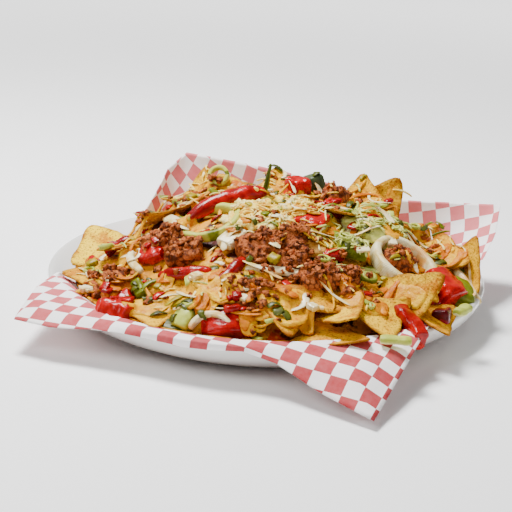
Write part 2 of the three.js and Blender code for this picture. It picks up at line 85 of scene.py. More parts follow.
PLATE_TOP = np.array([
    [0, 6], [90, 6.5], [110, 8.3], [130, 13.2], [150, 21.8], [160.5, RIM_HEIGHT - 0.1],
    [163.4, RIM_HEIGHT],
])
PLATE_UNDER = np.array([
    [0, 1.6], [112, 1.6], [115, 0], [FOOT_RADIUS, 0], [139, 2], [150, 7], [160, 14], [164, 20],
    [PLATE_RADIUS, 24], [PLATE_RADIUS, 26],
])
PAPER_EDGE = np.array([
    [69, -225, 6], [109, -127, 28.6], [114, -111, 28.4], [129, -77, 0], [150, -22, 0],
    [163, 6, 31], [178, 38, 46], [187, 70, 64], [150, 84, 60], [108, 98, 57], [60, 116, 62],
    [8, 134, 69], [-40, 150, 73], [-79, 165, 75], [-102, 92, 42], [-111, 68, 30], [-119, 42, 0],
    [-126, 15, 0], [-143, -22, 0], [-154, -36, 28.4], [-161, -50, 28.6], [-171, -125, 22],
    [-121, -137, 25], [-87, -146, 25], [-50, -161.5, 23], [2, -169.5, 26], [12, -181, 18],
])
PAPER_SPOKES = 50
FIRST_SPOKE = -73.0

# Chips that stand or lie by themselves: x, y, rise, side, turn, lean and where it leans to
PLACED_CHIPS = [
    (-127, 8, 4, 55, 44, 24, 247), (-125, -45, 3, 47, 107, 12, 232),
    (-56, 43, 1, 51, 256, 48, 225), (86, 34, 3, 50, 90, 62, 258), (72, 24, 5, 46, 122, 24, 263),
    (149, -24, 8, 46, 0, 76, 214), (98, -101, 6, 52, 74, 50, 236), (77, -124, 6, 49, 40, 25, 303),
    (44, -142, 1, 54, 188, 3, 197), (50, -131, 6, 44, 156, 14, 191),
    (14, -129, 5, 52, 35, 32, 299), (-76, -114, 2, 46, 83, 14, 254),
    (-31, -108, 2, 44, 74, 23, 263), (116, -106, 2, 42, 19, 25, 328),
    (-101, -81, 1, 44, 24, 25, 320), (-7, -113, 1, 44, 54, 33, 305),
    (130, -14, 1, 46, 10, 24, 250), (-28, 30, 0, 44, 30, 28, 270),
]

# Toppings, as in the frame: name, kind, x, y, rise, length, width and height, and where they
# aren't zero turn, bend, hump, growth and tip
TOPPINGS = [
    ("red_chilli_1", "chilli", -32, -11, 3, 66, 15, 13, 25, -16, 4, 0.3),
    ("chilli_stem", "chilli", -2, 16, 9, 28, 3.6, 3.6, 10, 0, 0, -0.2, 76),
    ("tomato_piece_1", "block", 21, 20, 3, 17, 16, 17, 30),
    ("cucumber_cube", "block", 31, 31, 5, 22, 17, 16, 18, 0, 0, 0, 24),
    ("green_ring_1", "ring", -40, 40, 16, 14, 3.4, 5, 90, 0, 0, 0, 60),
    ("onion_ring_1", "ring", 98, -62, 1, 46, 6, 11, -60),
    ("meat_piece_1", "clump", 93, -63, 2, 22, 17, 12, 20),
    ("pepper_ring_1", "ring", -42, -38, 1, 42, 5.6, 8, 10),
    ("red_chilli_2", "chilli", -57, -90, 2, 42, 9, 8, -12, 24, 3, 0.1),
    ("red_chilli_3", "chilli", -27, -101, 2, 40, 10, 9, 50, 40, 3, 0.2),
    ("red_wedge_1", "block", 96, -119, 3, 40, 13, 18, -58, -14, 2),
    ("tomato_piece_2", "block", 128, -62, 2, 28, 24, 14, -40, 0, 1, 0.1),
    ("tomato_piece_3", "block", 31, -45, 1, 23, 21, 11, -20),
    ("tomato_piece_4", "strip", 50, -19, 2, 27, 10, 9, -4, 0, 1),
    ("tomato_piece_5", "block", -101, -112, 3, 27, 17, 14, -34),
    ("tomato_piece_6", "strip", -106, -90, 2, 28, 12, 9, 8, 0, 1),
    ("tomato_piece_7", "block", -82, -58, 2, 20, 13, 10, -18),
    ("red_pepper_1", "strip", -131, -15, 2, 30, 9, 7, -58, 0, 1),
    ("red_pepper_2", "strip", -112, -15, 3, 22, 8, 7, 8, 0, 1),
    ("red_pepper_3", "block", -27, -137, 2, 30, 18, 13, 4, 0, 2),
    ("red_pepper_4", "block", -11, -138, 1, 14, 11, 10, -50),
    ("red_pepper_5", "strip", 46, -81, 3, 17, 8, 7, 14),
    ("red_pepper_6", "block", 113, -86, 2, 18, 15, 10, -64),
    ("beet_piece_1", "block", 124, -96, 1, 24, 12, 11, 76),
    ("cheese_mass", "patch", 2, -36, -1, 62, 42, 10, -8, 0, 3),
    ("meat_piece_2", "clump", -6, -78, 1, 30, 30, 14, 30, 0, 1),
    ("meat_piece_3", "clump", 18, -72, 1, 27, 26, 14, 110, 0, 1),
    ("meat_piece_4", "clump", 16, -92, 0, 28, 18, 11, 10, 0, 1),
    ("meat_piece_5", "clump", -75, -46, 2, 36, 22, 13, 20, 0, 1),
    ("meat_piece_6", "clump", -59, -68, 1, 27, 20, 12, 0, 0, 1),
    ("meat_piece_7", "clump", -113, -66, 2, 30, 21, 12, 16, 0, 1),
    ("meat_piece_8", "clump", -9, -125, 1, 23, 15, 10, -16),
    ("meat_piece_9", "clump", 36, -103, 2, 28, 23, 14, 24, 0, 1),
    ("meat_piece_10", "clump", 57, -97, 1, 15, 14, 10),
    ("meat_piece_11", "clump", 49, 4, 4, 20, 17, 13, -20),
    ("cabbage_mass", "patch", 78, -27, 0, 46, 40, 11, -30, 0, 3),
    ("onion_strip_1", "strip", 6, -101, 3, 42, 6.5, 4, -8, 10, 2),
    ("onion_strip_2", "strip", -95, -58, 3, 34, 6, 5, -76, 40, 2),
    ("onion_strip_3", "strip", -69, -20, 2, 40, 9, 6, -62, 16, 2),
    ("onion_strip_4", "strip", -36, -139, 9, 34, 4.5, 5, 0, -130, 2),
    ("onion_strip_5", "strip", 20, -125, 3, 24, 6, 6, -84, -90, 1),
    ("onion_strip_6", "strip", 148, -40, 2, 38, 5, 6, -56, 10, 1),
    ("onion_piece_1", "block", -25, -64, 1, 19, 15, 8, 50),
    ("green_onion_slice", "slice", 14, -123, 4, 13, 13, 5),
    ("green_onion_piece_1", "block", -54, -128, 2, 15, 13, 11, 60),
    ("green_onion_piece_2", "block", -50, -100, 2, 11, 10, 8, 10),
    ("green_onion_piece_3", "slice", 68, -13, 5, 16, 15, 7, 20),
    ("mushroom_slice", "slice", 30, -80, 4, 22, 16, 6, 16),
    ("jalapeno_slice_1", "slice", 70, -93, 3, 14, 9, 4.5),
    ("jalapeno_slice_2", "slice", -124, -60, 3, 13, 10, 4.5, 20),
    ("green_pepper_1", "block", 60, -70, 3, 21, 17, 10),
    ("green_pepper_2", "strip", 142, -54, 1, 26, 18, 12, -70, 0, 1),
    ("green_pepper_3", "block", 148, -14, 2, 18, 14, 9, -60),
    ("green_pepper_4", "block", -88, -90, 2, 18, 8, 9, -80),
    ("green_leaf_1", "strip", -68, -128, 2, 30, 13, 6, -14, 0, 2),
    ("lettuce_piece_1", "strip", 137, -98, 4, 16, 9, 6, 50),
    ("celery_piece_1", "strip", 86, -155, 2.6, 21, 9, 5, -4),
]
# Melted cheese, sauce and onion seen in the photograph: places and paths from above
MELTS = [
    (-78, -113, 15), (-88, -112, 11), (-106, -52, 12), (13, -128, 19), (24, -134, 12),
    (2, -132, 11), (-41, -108, 13), (20, 8, 10), (64, -113, 15), (97, -99, 16), (111, -84, 12),
    (72, -18, 13), (90, -30, 13), (-20, -117, 12), (-37, -122, 12), (-60, -112, 13),
    (-70, -92, 11), (124, 4, 11), (132, -24, 12), (-1, -109, 13), (44, -50, 11), (-60, -34, 9),
    (-44, 16, 13), (-9, -139, 10), (98, -58, 10), (52, 30, 13), (-96, -38, 12), (-50, 44, 12),
]
SAUCES = [
    [(-2, -103), (7, -107), (16, -108), (23, -105)],
    [(51, -88), (53, -99), (56, -110), (55, -118)],
    [(53, -104), (61, -111), (68, -111), (76, -100), (84, -88)],
    [(-40, -107), (-33, -102), (-24, -97)], [(-40, -117), (-42, -126), (-44, -134)],
    [(79, -112), (79, -120), (81, -127)], [(38, -60), (47, -52), (58, -50)],
    [(60, 16), (66, 26), (78, 30), (90, 26), (90, 14), (76, 8)],
    [(124, -14), (134, -4), (146, -8), (146, -22), (134, -32), (123, -30)],
    [(-24, -135), (-12, -139), (0, -140)], [(104, -18), (115, -18), (127, -12)],
    [(-76, 22), (-70, 34), (-60, 42), (-50, 44)], [(-4, -121), (4, -119), (13, -121), (22, -128)],
    [(-84, -92), (-75, -91), (-66, -95)], [(-113, -84), (-107, -88), (-100, -88)],
    [(-106, -72), (-99, -82), (-92, -80)], [(80, -107), (86, -95), (96, -86)],
    [(-12, -133), (-9, -125), (0, -119)], [(104, -77), (114, -72), (124, -65)],
    [(96, 26), (92, 14), (94, 2)], [(-68, -28), (-62, -20), (-56, -12), (-48, -8)],
    [(10, -50), (22, -58), (36, -56)], [(-30, -58), (-24, -62), (-19, -66)],
    [(-118, -76), (-108, -80), (-98, -78)],
]
STRANDS = [
    ([(-77, -17), (-75, -30), (-68, -42), (-56, -50)], 6),
    ([(-95, -42), (-90, -54), (-92, -62), (-101, -60)], 4),
    ([(-124, -18), (-126, -6), (-119, -2)], 4),
    ([(-17, -95), (-7, -101), (3, -106), (12, -109)], 6),
    ([(28, -70), (42, -63), (56, -57), (70, -46)], 5),
    ([(36, -115), (45, -118), (53, -121), (57, -127)], 4),
    ([(17, -136), (24, -132), (28, -125), (25, -117)], 6), ([(12, 30), (15, 18), (20, 4)], 4),
    ([(142, -9), (150, -21), (152, -40), (150, -62)], 4), ([(34, 26), (46, 16), (58, 18)], 5),
    ([(101, -9), (112, -12), (125, -16)], 5), ([(-31, -78), (-29, -66), (-19, -64)], 6),
    ([(-73, -108), (-64, -105), (-53, -112)], 4), ([(-61, -103), (-54, -114), (-46, -123)], 5),
    ([(60, -50), (70, -49), (82, -40)], 5), ([(74, -20), (85, -20), (92, -32)], 6),
    ([(-107, -42), (-101, -43), (-95, -38)], 6), ([(-30, -119), (-25, -111), (-19, -104)], 4),
    ([(-36, -129), (-30, -134), (-22, -131)], 3), ([(40, -36), (50, -30), (58, -34)], 6),
]
LEAVES = [
    (-84, -78), (-87, -91), (-78, -107), (-71, -122), (-60, -124), (-41, -134), (-37, -90),
    (-18, -80), (60, -66), (54, -74), (66, -68), (61, -22), (80, -10), (96, -4), (100, 5),
    (37, 30), (-10, -93), (-13, -110), (103, -73), (127, -26), (104, -30), (12, -137), (-94, -96),
    (42, -40), (48, 14), (70, -36), (-17, -58), (-14, -62),
]
RED_BITS = [
    (-108, -96), (-100, -98), (-92, -101), (-112, -90), (-97, -104), (42, -22), (34, -34),
    (52, -12), (58, -18), (-84, -56), (112, -84), (120, -78), (-20, -128), (-58, -88),
    (-16, -134), (-118, -22),
]
PALE_DICE = [
    (-78, -104), (-51, -100), (-53, -126), (-49, -104), (-59, -128), (-14, -122), (-9, -140),
    (58, -44), (8, 8), (13, -2), (4, 22), (-122, -60), (-126, -66), (34, -132), (44, -133),
    (69, -78), (-87, -22), (11, -34), (22, -26), (-66, 20), (86, -52), (110, -52),
]
# Chips that stay in view: x, y and the radius around it that small toppings leave free
BARE = [(-127, 8, 25), (44, -142, 24), (98, -101, 15), (149, -24, 15), (86, 34, 10)]
FIELDS = "name kind x y rise length width height turn bend hump growth tip".split()
ZEROS = (0,) * len(FIELDS)
PIECES = [dict(zip(FIELDS, row + ZEROS), seed=seed) for seed, row in enumerate(TOPPINGS)]

# Each kind of body, as in the frame: its ends' share of its middle's size and how it is squared
# off (1 is round), and how finely it is made here, in stations and sides
KINDS = {
    "clump": (0.42, 0.9, 54, 60), "chilli": (0.22, 1.0, 48, 24), "strip": (0.6, 0.62, 28, 20),
    "block": (0.8, 0.5, 40, 40), "slice": (0.45, 0.55, 28, 24), "ring": (1.0, 0.6, 72, 16),
    "patch": (0.4, 0.8, 84, 72), "crumb": (0.4, 0.9, 8, 9), "shred": (0.7, 0.8, 9, 5),
    "dice": (0.9, 0.36, 7, 8), "slip": (0.45, 0.7, 11, 8), "small_ring": (1.0, 0.7, 14, 6),
    "leaf": (0.1, 1.0, 9, 9),
}


# Forms in numpy
def place(points):
    """Millimetres from the plate's centre to the frame's metres."""
    return np.asarray(points, float) * MM + PLATE_AT


def plate_top(r):
    """The plate's glazed top: straight between the profile's points."""
    return np.interp(r, PLATE_TOP[:, 0], PLATE_TOP[:, 1])


def food_height(x, y):
    """The food's surface: a dome that falls with the square of the distance from its middle."""
    share = np.hypot(x - HEAP_CENTRE_X, y) / HEAP_SPREAD
    dome = HEAP_EDGE_HEIGHT + HEAP_RISE * (1 - share * share)
    return np.maximum(dome, plate_top(np.hypot(x, y)) + 2)


def paper_level(r):
    """The paper's middle: at rest on the plate's top, and level where it crosses the lip."""
    on_plate = plate_top(r) + PAPER_REST + PAPER_SOLID / 2
    return np.where(np.asarray(r) > LIP_TURN, LIP_LEVEL, np.minimum(LIP_LEVEL, on_plate))


def hashed(*numbers):
    """Numbers between 0 and 1 that look random and depend only on what is passed in."""
    mixed = sum(np.asarray(n, float) * k for n, k in zip(numbers, (127.1, 311.7, 74.7, 269.5)))
    return np.mod(np.sin(mixed) * 43758.5453, 1.0)


def value_noise(points, size, seed=0):
    """Smooth noise from -1 to 1: random values on a grid of a size, eased between its points."""
    cell = np.floor(points / size)
    f = points / size - cell
    f = f * f * (3 - 2 * f)
    total = 0
    for step in itertools.product((0, 1), repeat=3):
        weight = np.where(step, f, 1 - f)
        corner = hashed(*(cell[..., k] + step[k] for k in range(3)), seed)
        total = total + weight[..., 0] * weight[..., 1] * weight[..., 2] * corner
    return total * 2 - 1


def crumbs(points, size, seed=0):
    """Rounded crumbs: 1 in the middle of each of many random cells, falling with the square of the
    distance to 0 at its border."""
    p = points / size
    nearest = np.full(p.shape[:-1], 9.0)
    for step in itertools.product((-1, 0, 1), repeat=3):
        corner = np.floor(p) + step
        offset = [hashed(*(corner[..., k] for k in range(3)), seed + n) for n in (1, 2, 3)]
        gap = corner + np.stack(offset, -1) - p
        nearest = np.minimum(nearest, (gap * gap).sum(-1))
    return np.clip(1 - nearest, 0, 1)


def squared(value, power):
    """Sign of value times its size to a power: below 1 it squares off a circle."""
    return np.sign(value) * np.abs(value) ** power


def frame_at(position, normal, turn):
    """A turned frame, 3 by 4: z along the normal, x along turn as seen from above."""
    z = np.asarray(normal, float) / np.linalg.norm(normal)
    heading = np.array([math.cos(turn), math.sin(turn), 0.0])
    x = heading - z * heading.dot(z)
    x /= np.linalg.norm(x)
    return np.column_stack([x, np.cross(z, x), z, position])


def moved(points, pose):
    """Points turned and moved by a 3 by 4 frame."""
    return points @ pose[:, :3].T + pose[:, 3]


def food_normal(x, y, step=4.0):
    """The dome's own normal, from height differences over a small step."""
    dx = food_height(x + step, y) - food_height(x - step, y)
    dy = food_height(x, y + step) - food_height(x, y - step)
    normal = np.array([-dx, -dy, 2 * step])
    return normal / np.linalg.norm(normal)


# Meshes
def ring_faces(count_rings, count_sides, loop):
    """Quads between neighbouring rings of points; a loop's last ring meets its first."""
    i = np.arange(count_rings if loop else count_rings - 1)[:, None]
    j = np.arange(count_sides)[None, :]
    k = (j + 1) % count_sides
    here, far = i * count_sides, (i + 1) % count_rings * count_sides
    return np.stack([here + j, here + k, far + k, far + j], -1).reshape(-1, 4)


def closed_skin(rings, loop=False):
    """Points and faces of a closed skin over rings; fans of triangles close its two ends."""
    count_rings, count_sides, _ = rings.shape
    points = rings.reshape(-1, 3)
    quads = ring_faces(count_rings, count_sides, loop)
    if loop:
        return points, quads, np.zeros((0, 3), int)
    points = np.vstack([points, rings[0].mean(0), rings[-1].mean(0)])
    j = np.arange(count_sides)
    k = (j + 1) % count_sides
    last = (count_rings - 1) * count_sides
    hub = count_rings * count_sides
    first_fan = np.stack([np.full_like(j, hub), k, j], -1)
    last_fan = np.stack([np.full_like(j, hub + 1), last + j, last + k], -1)
    return points, quads, np.vstack([first_fan, last_fan])


def build_mesh(name, points, quads, triangles, smooth, values):
    """A mesh object from arrays, in metres, with named numbers on its points."""
    mesh = bpy.data.meshes.new(name)
    corners = np.concatenate([quads.ravel(), triangles.ravel()]).astype(np.int32)
    sizes = np.repeat([4, 3], [len(quads), len(triangles)])
    mesh.vertices.add(len(points))
    mesh.vertices.foreach_set("co", place(points).ravel().astype(np.float32))
    mesh.loops.add(len(corners))
    mesh.loops.foreach_set("vertex_index", corners)
    mesh.polygons.add(len(sizes))
    mesh.polygons.foreach_set("loop_start", (np.cumsum(sizes) - sizes).astype(np.int32))
    mesh.update(calc_edges=True)
    mesh.polygons.foreach_set("use_smooth", np.full(len(sizes), smooth))
    for key, value in values.items():
        layer = mesh.attributes.new(key, "FLOAT", "POINT")
        layer.data.foreach_set("value", np.asarray(value, np.float32).ravel())
    mesh.validate()
    piece = bpy.data.objects.new(name, mesh)
    bpy.context.scene.collection.objects.link(piece)
    return piece


def signed_volume(points, quads, triangles):
    """Volume inside a closed skin, as the sum of its triangles' cones from the origin: below zero
    where its faces point in."""
    split = np.vstack([quads[:, [0, 1, 2]], quads[:, [0, 2, 3]], triangles])
    a, b, c = (points[split[:, k]] for k in range(3))
    return np.einsum("ij,ij->i", a, np.cross(b, c)).sum() / 6


class Heap:
    """Many closed skins joined in one mesh. Each has one tint, and its points may have a share."""

    def __init__(self):
        self.points, self.quads, self.triangles, self.tints, self.shares = [], [], [], [], []
        self.count = 0

    def add(self, points, quads, triangles, tint=0.5, share=None):
        """One more skin joins, with its faces turned outwards."""
        if signed_volume(points, quads, triangles) < 0:
            quads, triangles = quads[:, ::-1], triangles[:, ::-1]
        self.points.append(points)
        self.quads.append(quads + self.count)
        self.triangles.append(triangles + self.count)
        self.tints.append(np.full(len(points), tint))
        self.shares.append(np.zeros(len(points)) if share is None else share)
        self.count += len(points)

    def arrays(self):
        """All points, quads and triangles."""
        return np.vstack(self.points), np.vstack(self.quads), np.vstack(self.triangles)

    def piece(self, name, smooth=True):
        """The heap as one mesh object."""
        values = {"tint": np.concatenate(self.tints), "share": np.concatenate(self.shares)}
        return build_mesh(name, *self.arrays(), smooth, values)


# Shader expressions
class Value:
    """A shader number that Python's own operators turn into Math nodes."""

    def __init__(self, paint, socket):
        self.paint, self.socket = paint, socket

    def __add__(self, other):
        return self.paint.math("ADD", self, other)

    def __radd__(self, other):
        return self.paint.math("ADD", other, self)

    def __mul__(self, other):
        return self.paint.math("MULTIPLY", self, other)

    def __rmul__(self, other):
        return self.paint.math("MULTIPLY", other, self)


class Paint:
    """One procedural material: its nodes are made by node(), and its shader is Principled."""

    def __init__(self, name, roughness=0.5, **constants):
        self.material = bpy.data.materials.new(name)
        self.material.use_nodes = True
        self.tree = self.material.node_tree
        self.shader = self.tree.nodes["Principled BSDF"]
        self.shader.inputs["Roughness"].default_value = roughness
        for key, value in constants.items():
            self.shader.inputs[key.replace("_", " ")].default_value = value
        self.here = self.node("ShaderNodeTexCoord").outputs["Object"]

    def node(self, kind, settings=None, **inputs):
        """A node of a kind: settings come first, then values or links. _0 is the first socket."""
        made = self.tree.nodes.new(kind)
        for key, value in (settings or {}).items():
            setattr(made, key, value)
        for key, value in inputs.items():
            name = int(key[1:]) if key[0] == "_" else key.replace("_", " ")
            self.feed(made.inputs[name], value)
        return made

    def feed(self, socket, value):
        """A socket takes a link from another or a value of its own."""
        source = value.socket if isinstance(value, Value) else value
        if isinstance(source, bpy.types.NodeSocket):
            self.tree.links.new(source, socket)
        else:
            socket.default_value = source

    def math(self, operation, first, second=0.0):
        """One Math node."""
        made = self.node("ShaderNodeMath", {"operation": operation}, _0=first, _1=second)
        return Value(self, made.outputs[0])

    def noise(self, size_mm, detail=3.0, roughness=0.55):
        """Fractal noise from 0 to 1 with lumps of a size."""
        made = self.node(
            "ShaderNodeTexNoise", None, Vector=self.here, Scale=1000.0 / size_mm, Detail=detail,
            Roughness=roughness,
        )
        return Value(self, made.outputs[0])

    def cells(self, size_mm, feature="F1"):
        """The distance to the nearest of many random points."""
        made = self.node(
            "ShaderNodeTexVoronoi", {"feature": feature}, Vector=self.here, Scale=1000.0 / size_mm,
        )
        return Value(self, made.outputs["Distance"])

    def attribute(self, name):
        """A number that the mesh's points carry."""
        made = self.node("ShaderNodeAttribute", {"attribute_name": name})
        return Value(self, made.outputs["Fac"])

    def axis(self, index):
        """One of the object's own coordinates in metres: 0 for x, 1 for y, 2 for z."""
        made = self.node("ShaderNodeSeparateXYZ", None, Vector=self.here)
        return Value(self, made.outputs[index])

    def between(self, value, low, high):
        """0 below low, 1 above high, eased in between."""
        made = self.node(
            "ShaderNodeMapRange", {"interpolation_type": "SMOOTHSTEP"}, Value=value, From_Min=low,
            From_Max=high,
        )
        return Value(self, made.outputs["Result"])

    def mix(self, factor, first, second):
        """From the first colour at 0 to the second at 1."""
        made = self.node(
            "ShaderNodeMix", {"data_type": "RGBA"}, _0=factor, _6=rgba(first), _7=rgba(second),
        )
        return made.outputs[2]

    def finish(self, color, height=None, depth_mm=0.4):
        """The colour, and a relief of a depth, reach the shader."""
        self.feed(self.shader.inputs["Base Color"], rgba(color))
        if height is not None:
            depth = depth_mm * MM
            bump = self.node("ShaderNodeBump", None, Strength=1.0, Distance=depth, Height=height)
            self.feed(self.shader.inputs["Normal"], bump.outputs[0])
        return self.material


def rgba(color):
    """Screen colours as 0 to 255 become linear red, green, blue, alpha, a little deeper."""
    if not isinstance(color, tuple):
        return color
    channels = [c / 255 for c in color]
    linear = [c / 12.92 if c < 0.04045 else ((c + 0.055) / 1.055) ** 2.4 for c in channels]
    return tuple(c**COLOR_DEPTH for c in linear) + (1.0,)


def glaze_paint():
    """White glaze in two close tones, with painted shade that greys it towards the foot, and a
    clear coat.
    """
    paint = Paint("white_glaze", roughness=0.12, Coat_Weight=0.4, Coat_Roughness=0.05)
    color = paint.mix(paint.noise(60, detail=2), (240, 239, 236), (232, 231, 228))
    # Painted shade: below about 24 mm the glaze darkens to a warm grey, darkest under 4 mm.
    color = paint.mix(paint.between(paint.axis(2), 0.004, 0.024), (204, 192, 186), color)
    return paint.finish(color, paint.noise(25, detail=2), 0.05)


def paper_paint():
    """A checked print: whole numbers of checks along both ways of the flat sheet, its red deeper
    at the front and paler at the back as painted light and shade.
    """
    paint = Paint("checked_paper", roughness=0.7, Specular_IOR_Level=0.15)
    uv = paint.node("ShaderNodeUVMap", {"uv_map": "flat"}).outputs[0]
    black, white = (0, 0, 0, 1), (1, 1, 1, 1)
    checker = paint.node(
        "ShaderNodeTexChecker", None, Vector=uv, Scale=1.0, Color1=black, Color2=white,
    )
    # Painted light and shade: the red is deeper at the front and paler towards the back of the
    # sheet.
    ink_with_painted_light = paint.mix(paint.between(paint.axis(1), -0.16, 0.06), (192, 48, 58), (224, 136, 140))
    ink_with_painted_light = paint.mix(paint.noise(5, detail=4) * 0.3, ink_with_painted_light, (236, 190, 190))
    color = paint.mix(checker.outputs["Fac"], ink_with_painted_light, (252, 249, 248))
    return paint.finish(color, paint.noise(38, roughness=0.6) + 0.12 * paint.noise(2.5), 1.4)


def chip_paint():
    """Fried corn: a tint for each chip, warm blotches, browned edges and dark and pale specks."""
    paint = Paint("fried_corn", roughness=0.6, Specular_IOR_Level=0.08)
    blotch = paint.noise(14, detail=4, roughness=0.6)
    color = paint.mix(paint.attribute("tint"), (232, 180, 0), (252, 222, 60))
    color = paint.mix(paint.between(blotch, 0.44, 0.66), color, (214, 154, 0))
    edge = paint.between(paint.attribute("share") + 0.4 * blotch, 0.98, 1.25)
    color = paint.mix(edge * 0.8, color, (152, 84, 4))
    speck = paint.between(paint.noise(1.6), 0.54, 0.62)
    color = paint.mix(speck * 0.65, color, (146, 80, 2))
    pale = paint.between(paint.noise(3.4, detail=2), 0.58, 0.7)
    color = paint.mix(pale * 0.35, color, (255, 222, 90))
    bubbles = 0.7 * paint.cells(6, "SMOOTH_F1")
    return paint.finish(color, bubbles + blotch + 0.6 * paint.noise(1.7), 1.5)


def bed_paint():
    """What lies between the larger pieces: cheese, crumbs, sauce, and painted shade for shaded
    chip in the hollows and underneath.
    """
    paint = Paint("cheesy_bed", roughness=0.5, Specular_IOR_Level=0.12)
    patch = paint.noise(24, detail=4, roughness=0.6)
    fine = paint.noise(7, detail=4, roughness=0.65)
    cheese = paint.mix(fine, (222, 152, 0), (242, 194, 30))
    meat = paint.mix(paint.cells(5), (118, 50, 12), (62, 20, 4))
    color = paint.mix(paint.between(patch + 0.35 * fine, 0.66, 0.76), cheese, meat)
    color = paint.mix(paint.between(paint.noise(17), 0.6, 0.68), color, (196, 84, 4))
    # Painted shade: dark brown where share is high, in the hollows and on the bed's underside.
    color = paint.mix(paint.attribute("share"), color, (80, 24, 2))
    return paint.finish(color, fine + 0.5 * paint.cells(4), 1.2)


def meat_paint():
    """Browned mince: a fine grain, lighter and darker crumbs, and orange fat."""
    paint = Paint("browned_meat", roughness=0.6, Specular_IOR_Level=0.16)
    grain = paint.noise(2.2, detail=5, roughness=0.7)
    wide = paint.noise(10)
    color = paint.mix(grain, (140, 70, 24), (236, 156, 90))
    color = paint.mix(paint.between(wide, 0.5, 0.7) * 0.7, color, (232, 156, 96))
    color = paint.mix(paint.between(paint.cells(3.4), 0.44, 0.72) * 0.8, color, (70, 22, 4))
    fat = paint.between(paint.noise(6, detail=2), 0.6, 0.7)
    color = paint.mix(fat * 0.6, color, (228, 118, 14))
    color = paint.mix(paint.attribute("tint") * 0.3, color, (136, 62, 20))
    return paint.finish(color, 0.6 * paint.cells(1.8) + grain, 1.6)


def red_paint(name, skin, flesh, deep):
    """Glossy red skin in two depths, with paler flesh where share is high, at the cut side."""
    paint = Paint(
        name, roughness=0.22, Specular_IOR_Level=0.2, Coat_Weight=0.12, Coat_Roughness=0.1,
    )
    wide = paint.noise(9)
    cut = paint.attribute("share")
    color = paint.mix(paint.between(wide, 0.35, 0.7), deep, skin)
    pale = paint.mix(paint.noise(2.6), flesh, skin)
    color = paint.mix(paint.between(cut + 0.25 * wide, 0.62, 0.9), color, pale)
    return paint.finish(color, wide + 0.4 * paint.noise(2.0), 0.9)


def onion_paint(name, flesh, shade):
    """Pale flesh that lets light in a little, with fine stripes along it and stains of sauce."""
    paint = Paint(
        name, roughness=0.3, Specular_IOR_Level=0.35, Subsurface_Weight=0.15,
        Subsurface_Radius=(0.003, 0.0025, 0.002),
    )
    stripes = paint.math("SINE", paint.attribute("share") * 46.0)
    wide = paint.noise(8, detail=2)
    color = paint.mix(paint.between(wide, 0.4, 0.7), flesh, shade)
    color = paint.mix(paint.between(stripes, 0.2, 1.0) * 0.3, color, shade)
    stain = paint.between(paint.noise(12), 0.5, 0.68)
    color = paint.mix(stain * 0.7, color, (240, 184, 80))
    return paint.finish(color, 0.3 * stripes + 0.4 * wide, 0.25)


def green_paint(name, skin, flesh, deep):
    """Green skin in two depths, with lighter flesh where share is high, at the cut side."""
    paint = Paint(name, roughness=0.36, Specular_IOR_Level=0.18)
    wide = paint.noise(7)
    color = paint.mix(paint.between(wide, 0.35, 0.7), deep, skin)
    cut = paint.between(paint.attribute("share") + 0.2 * wide, 0.6, 0.85)
    color = paint.mix(cut, color, flesh)
    color = paint.mix(paint.attribute("tint") * 0.45, color, skin)
    return paint.finish(color, wide + 0.3 * paint.noise(1.8), 0.5)


def cheese_paint(name, pale, warm, orange):
    """Soft cheese in three tones that follow wide and fine noise, with small browned spots."""
    paint = Paint(name, roughness=0.3, Specular_IOR_Level=0.12)
    wide = paint.noise(15, detail=5, roughness=0.65)
    fine = paint.noise(3.2, detail=4, roughness=0.65)
    color = paint.mix(paint.between(wide + 0.35 * fine, 0.52, 0.74), pale, warm)
    color = paint.mix(paint.between(0.6 * wide + fine, 0.84, 1.0), color, orange)
    color = paint.mix(paint.attribute("tint") * 0.35, color, warm)
    toast = paint.between(paint.noise(2.0, detail=2), 0.64, 0.74)
    color = paint.mix(toast * 0.4, color, orange)
    return paint.finish(color, wide + 0.6 * fine + 0.2 * paint.cells(3.6), 1.3)


def slice_paint(name, skin, flesh, core):
    """A round slice: skin at its rim, flesh inside it, and seeds or a core in the middle."""
    paint = Paint(name, roughness=0.36, Specular_IOR_Level=0.18)
    out = paint.attribute("share")
    rings = paint.math("SINE", out * 26.0)
    color = paint.mix(paint.between(out, 0.3, 0.5), core, flesh)
    color = paint.mix(paint.between(rings, 0.3, 1.0) * 0.3, color, skin)
    color = paint.mix(paint.between(out, 0.84, 0.97), color, skin)
    return paint.finish(color, rings * 0.4 + paint.noise(3), 0.3)


PAINTS = {
    "glaze": glaze_paint(), "paper": paper_paint(), "chips": chip_paint(), "bed": bed_paint(),
    "meat": meat_paint(),
}
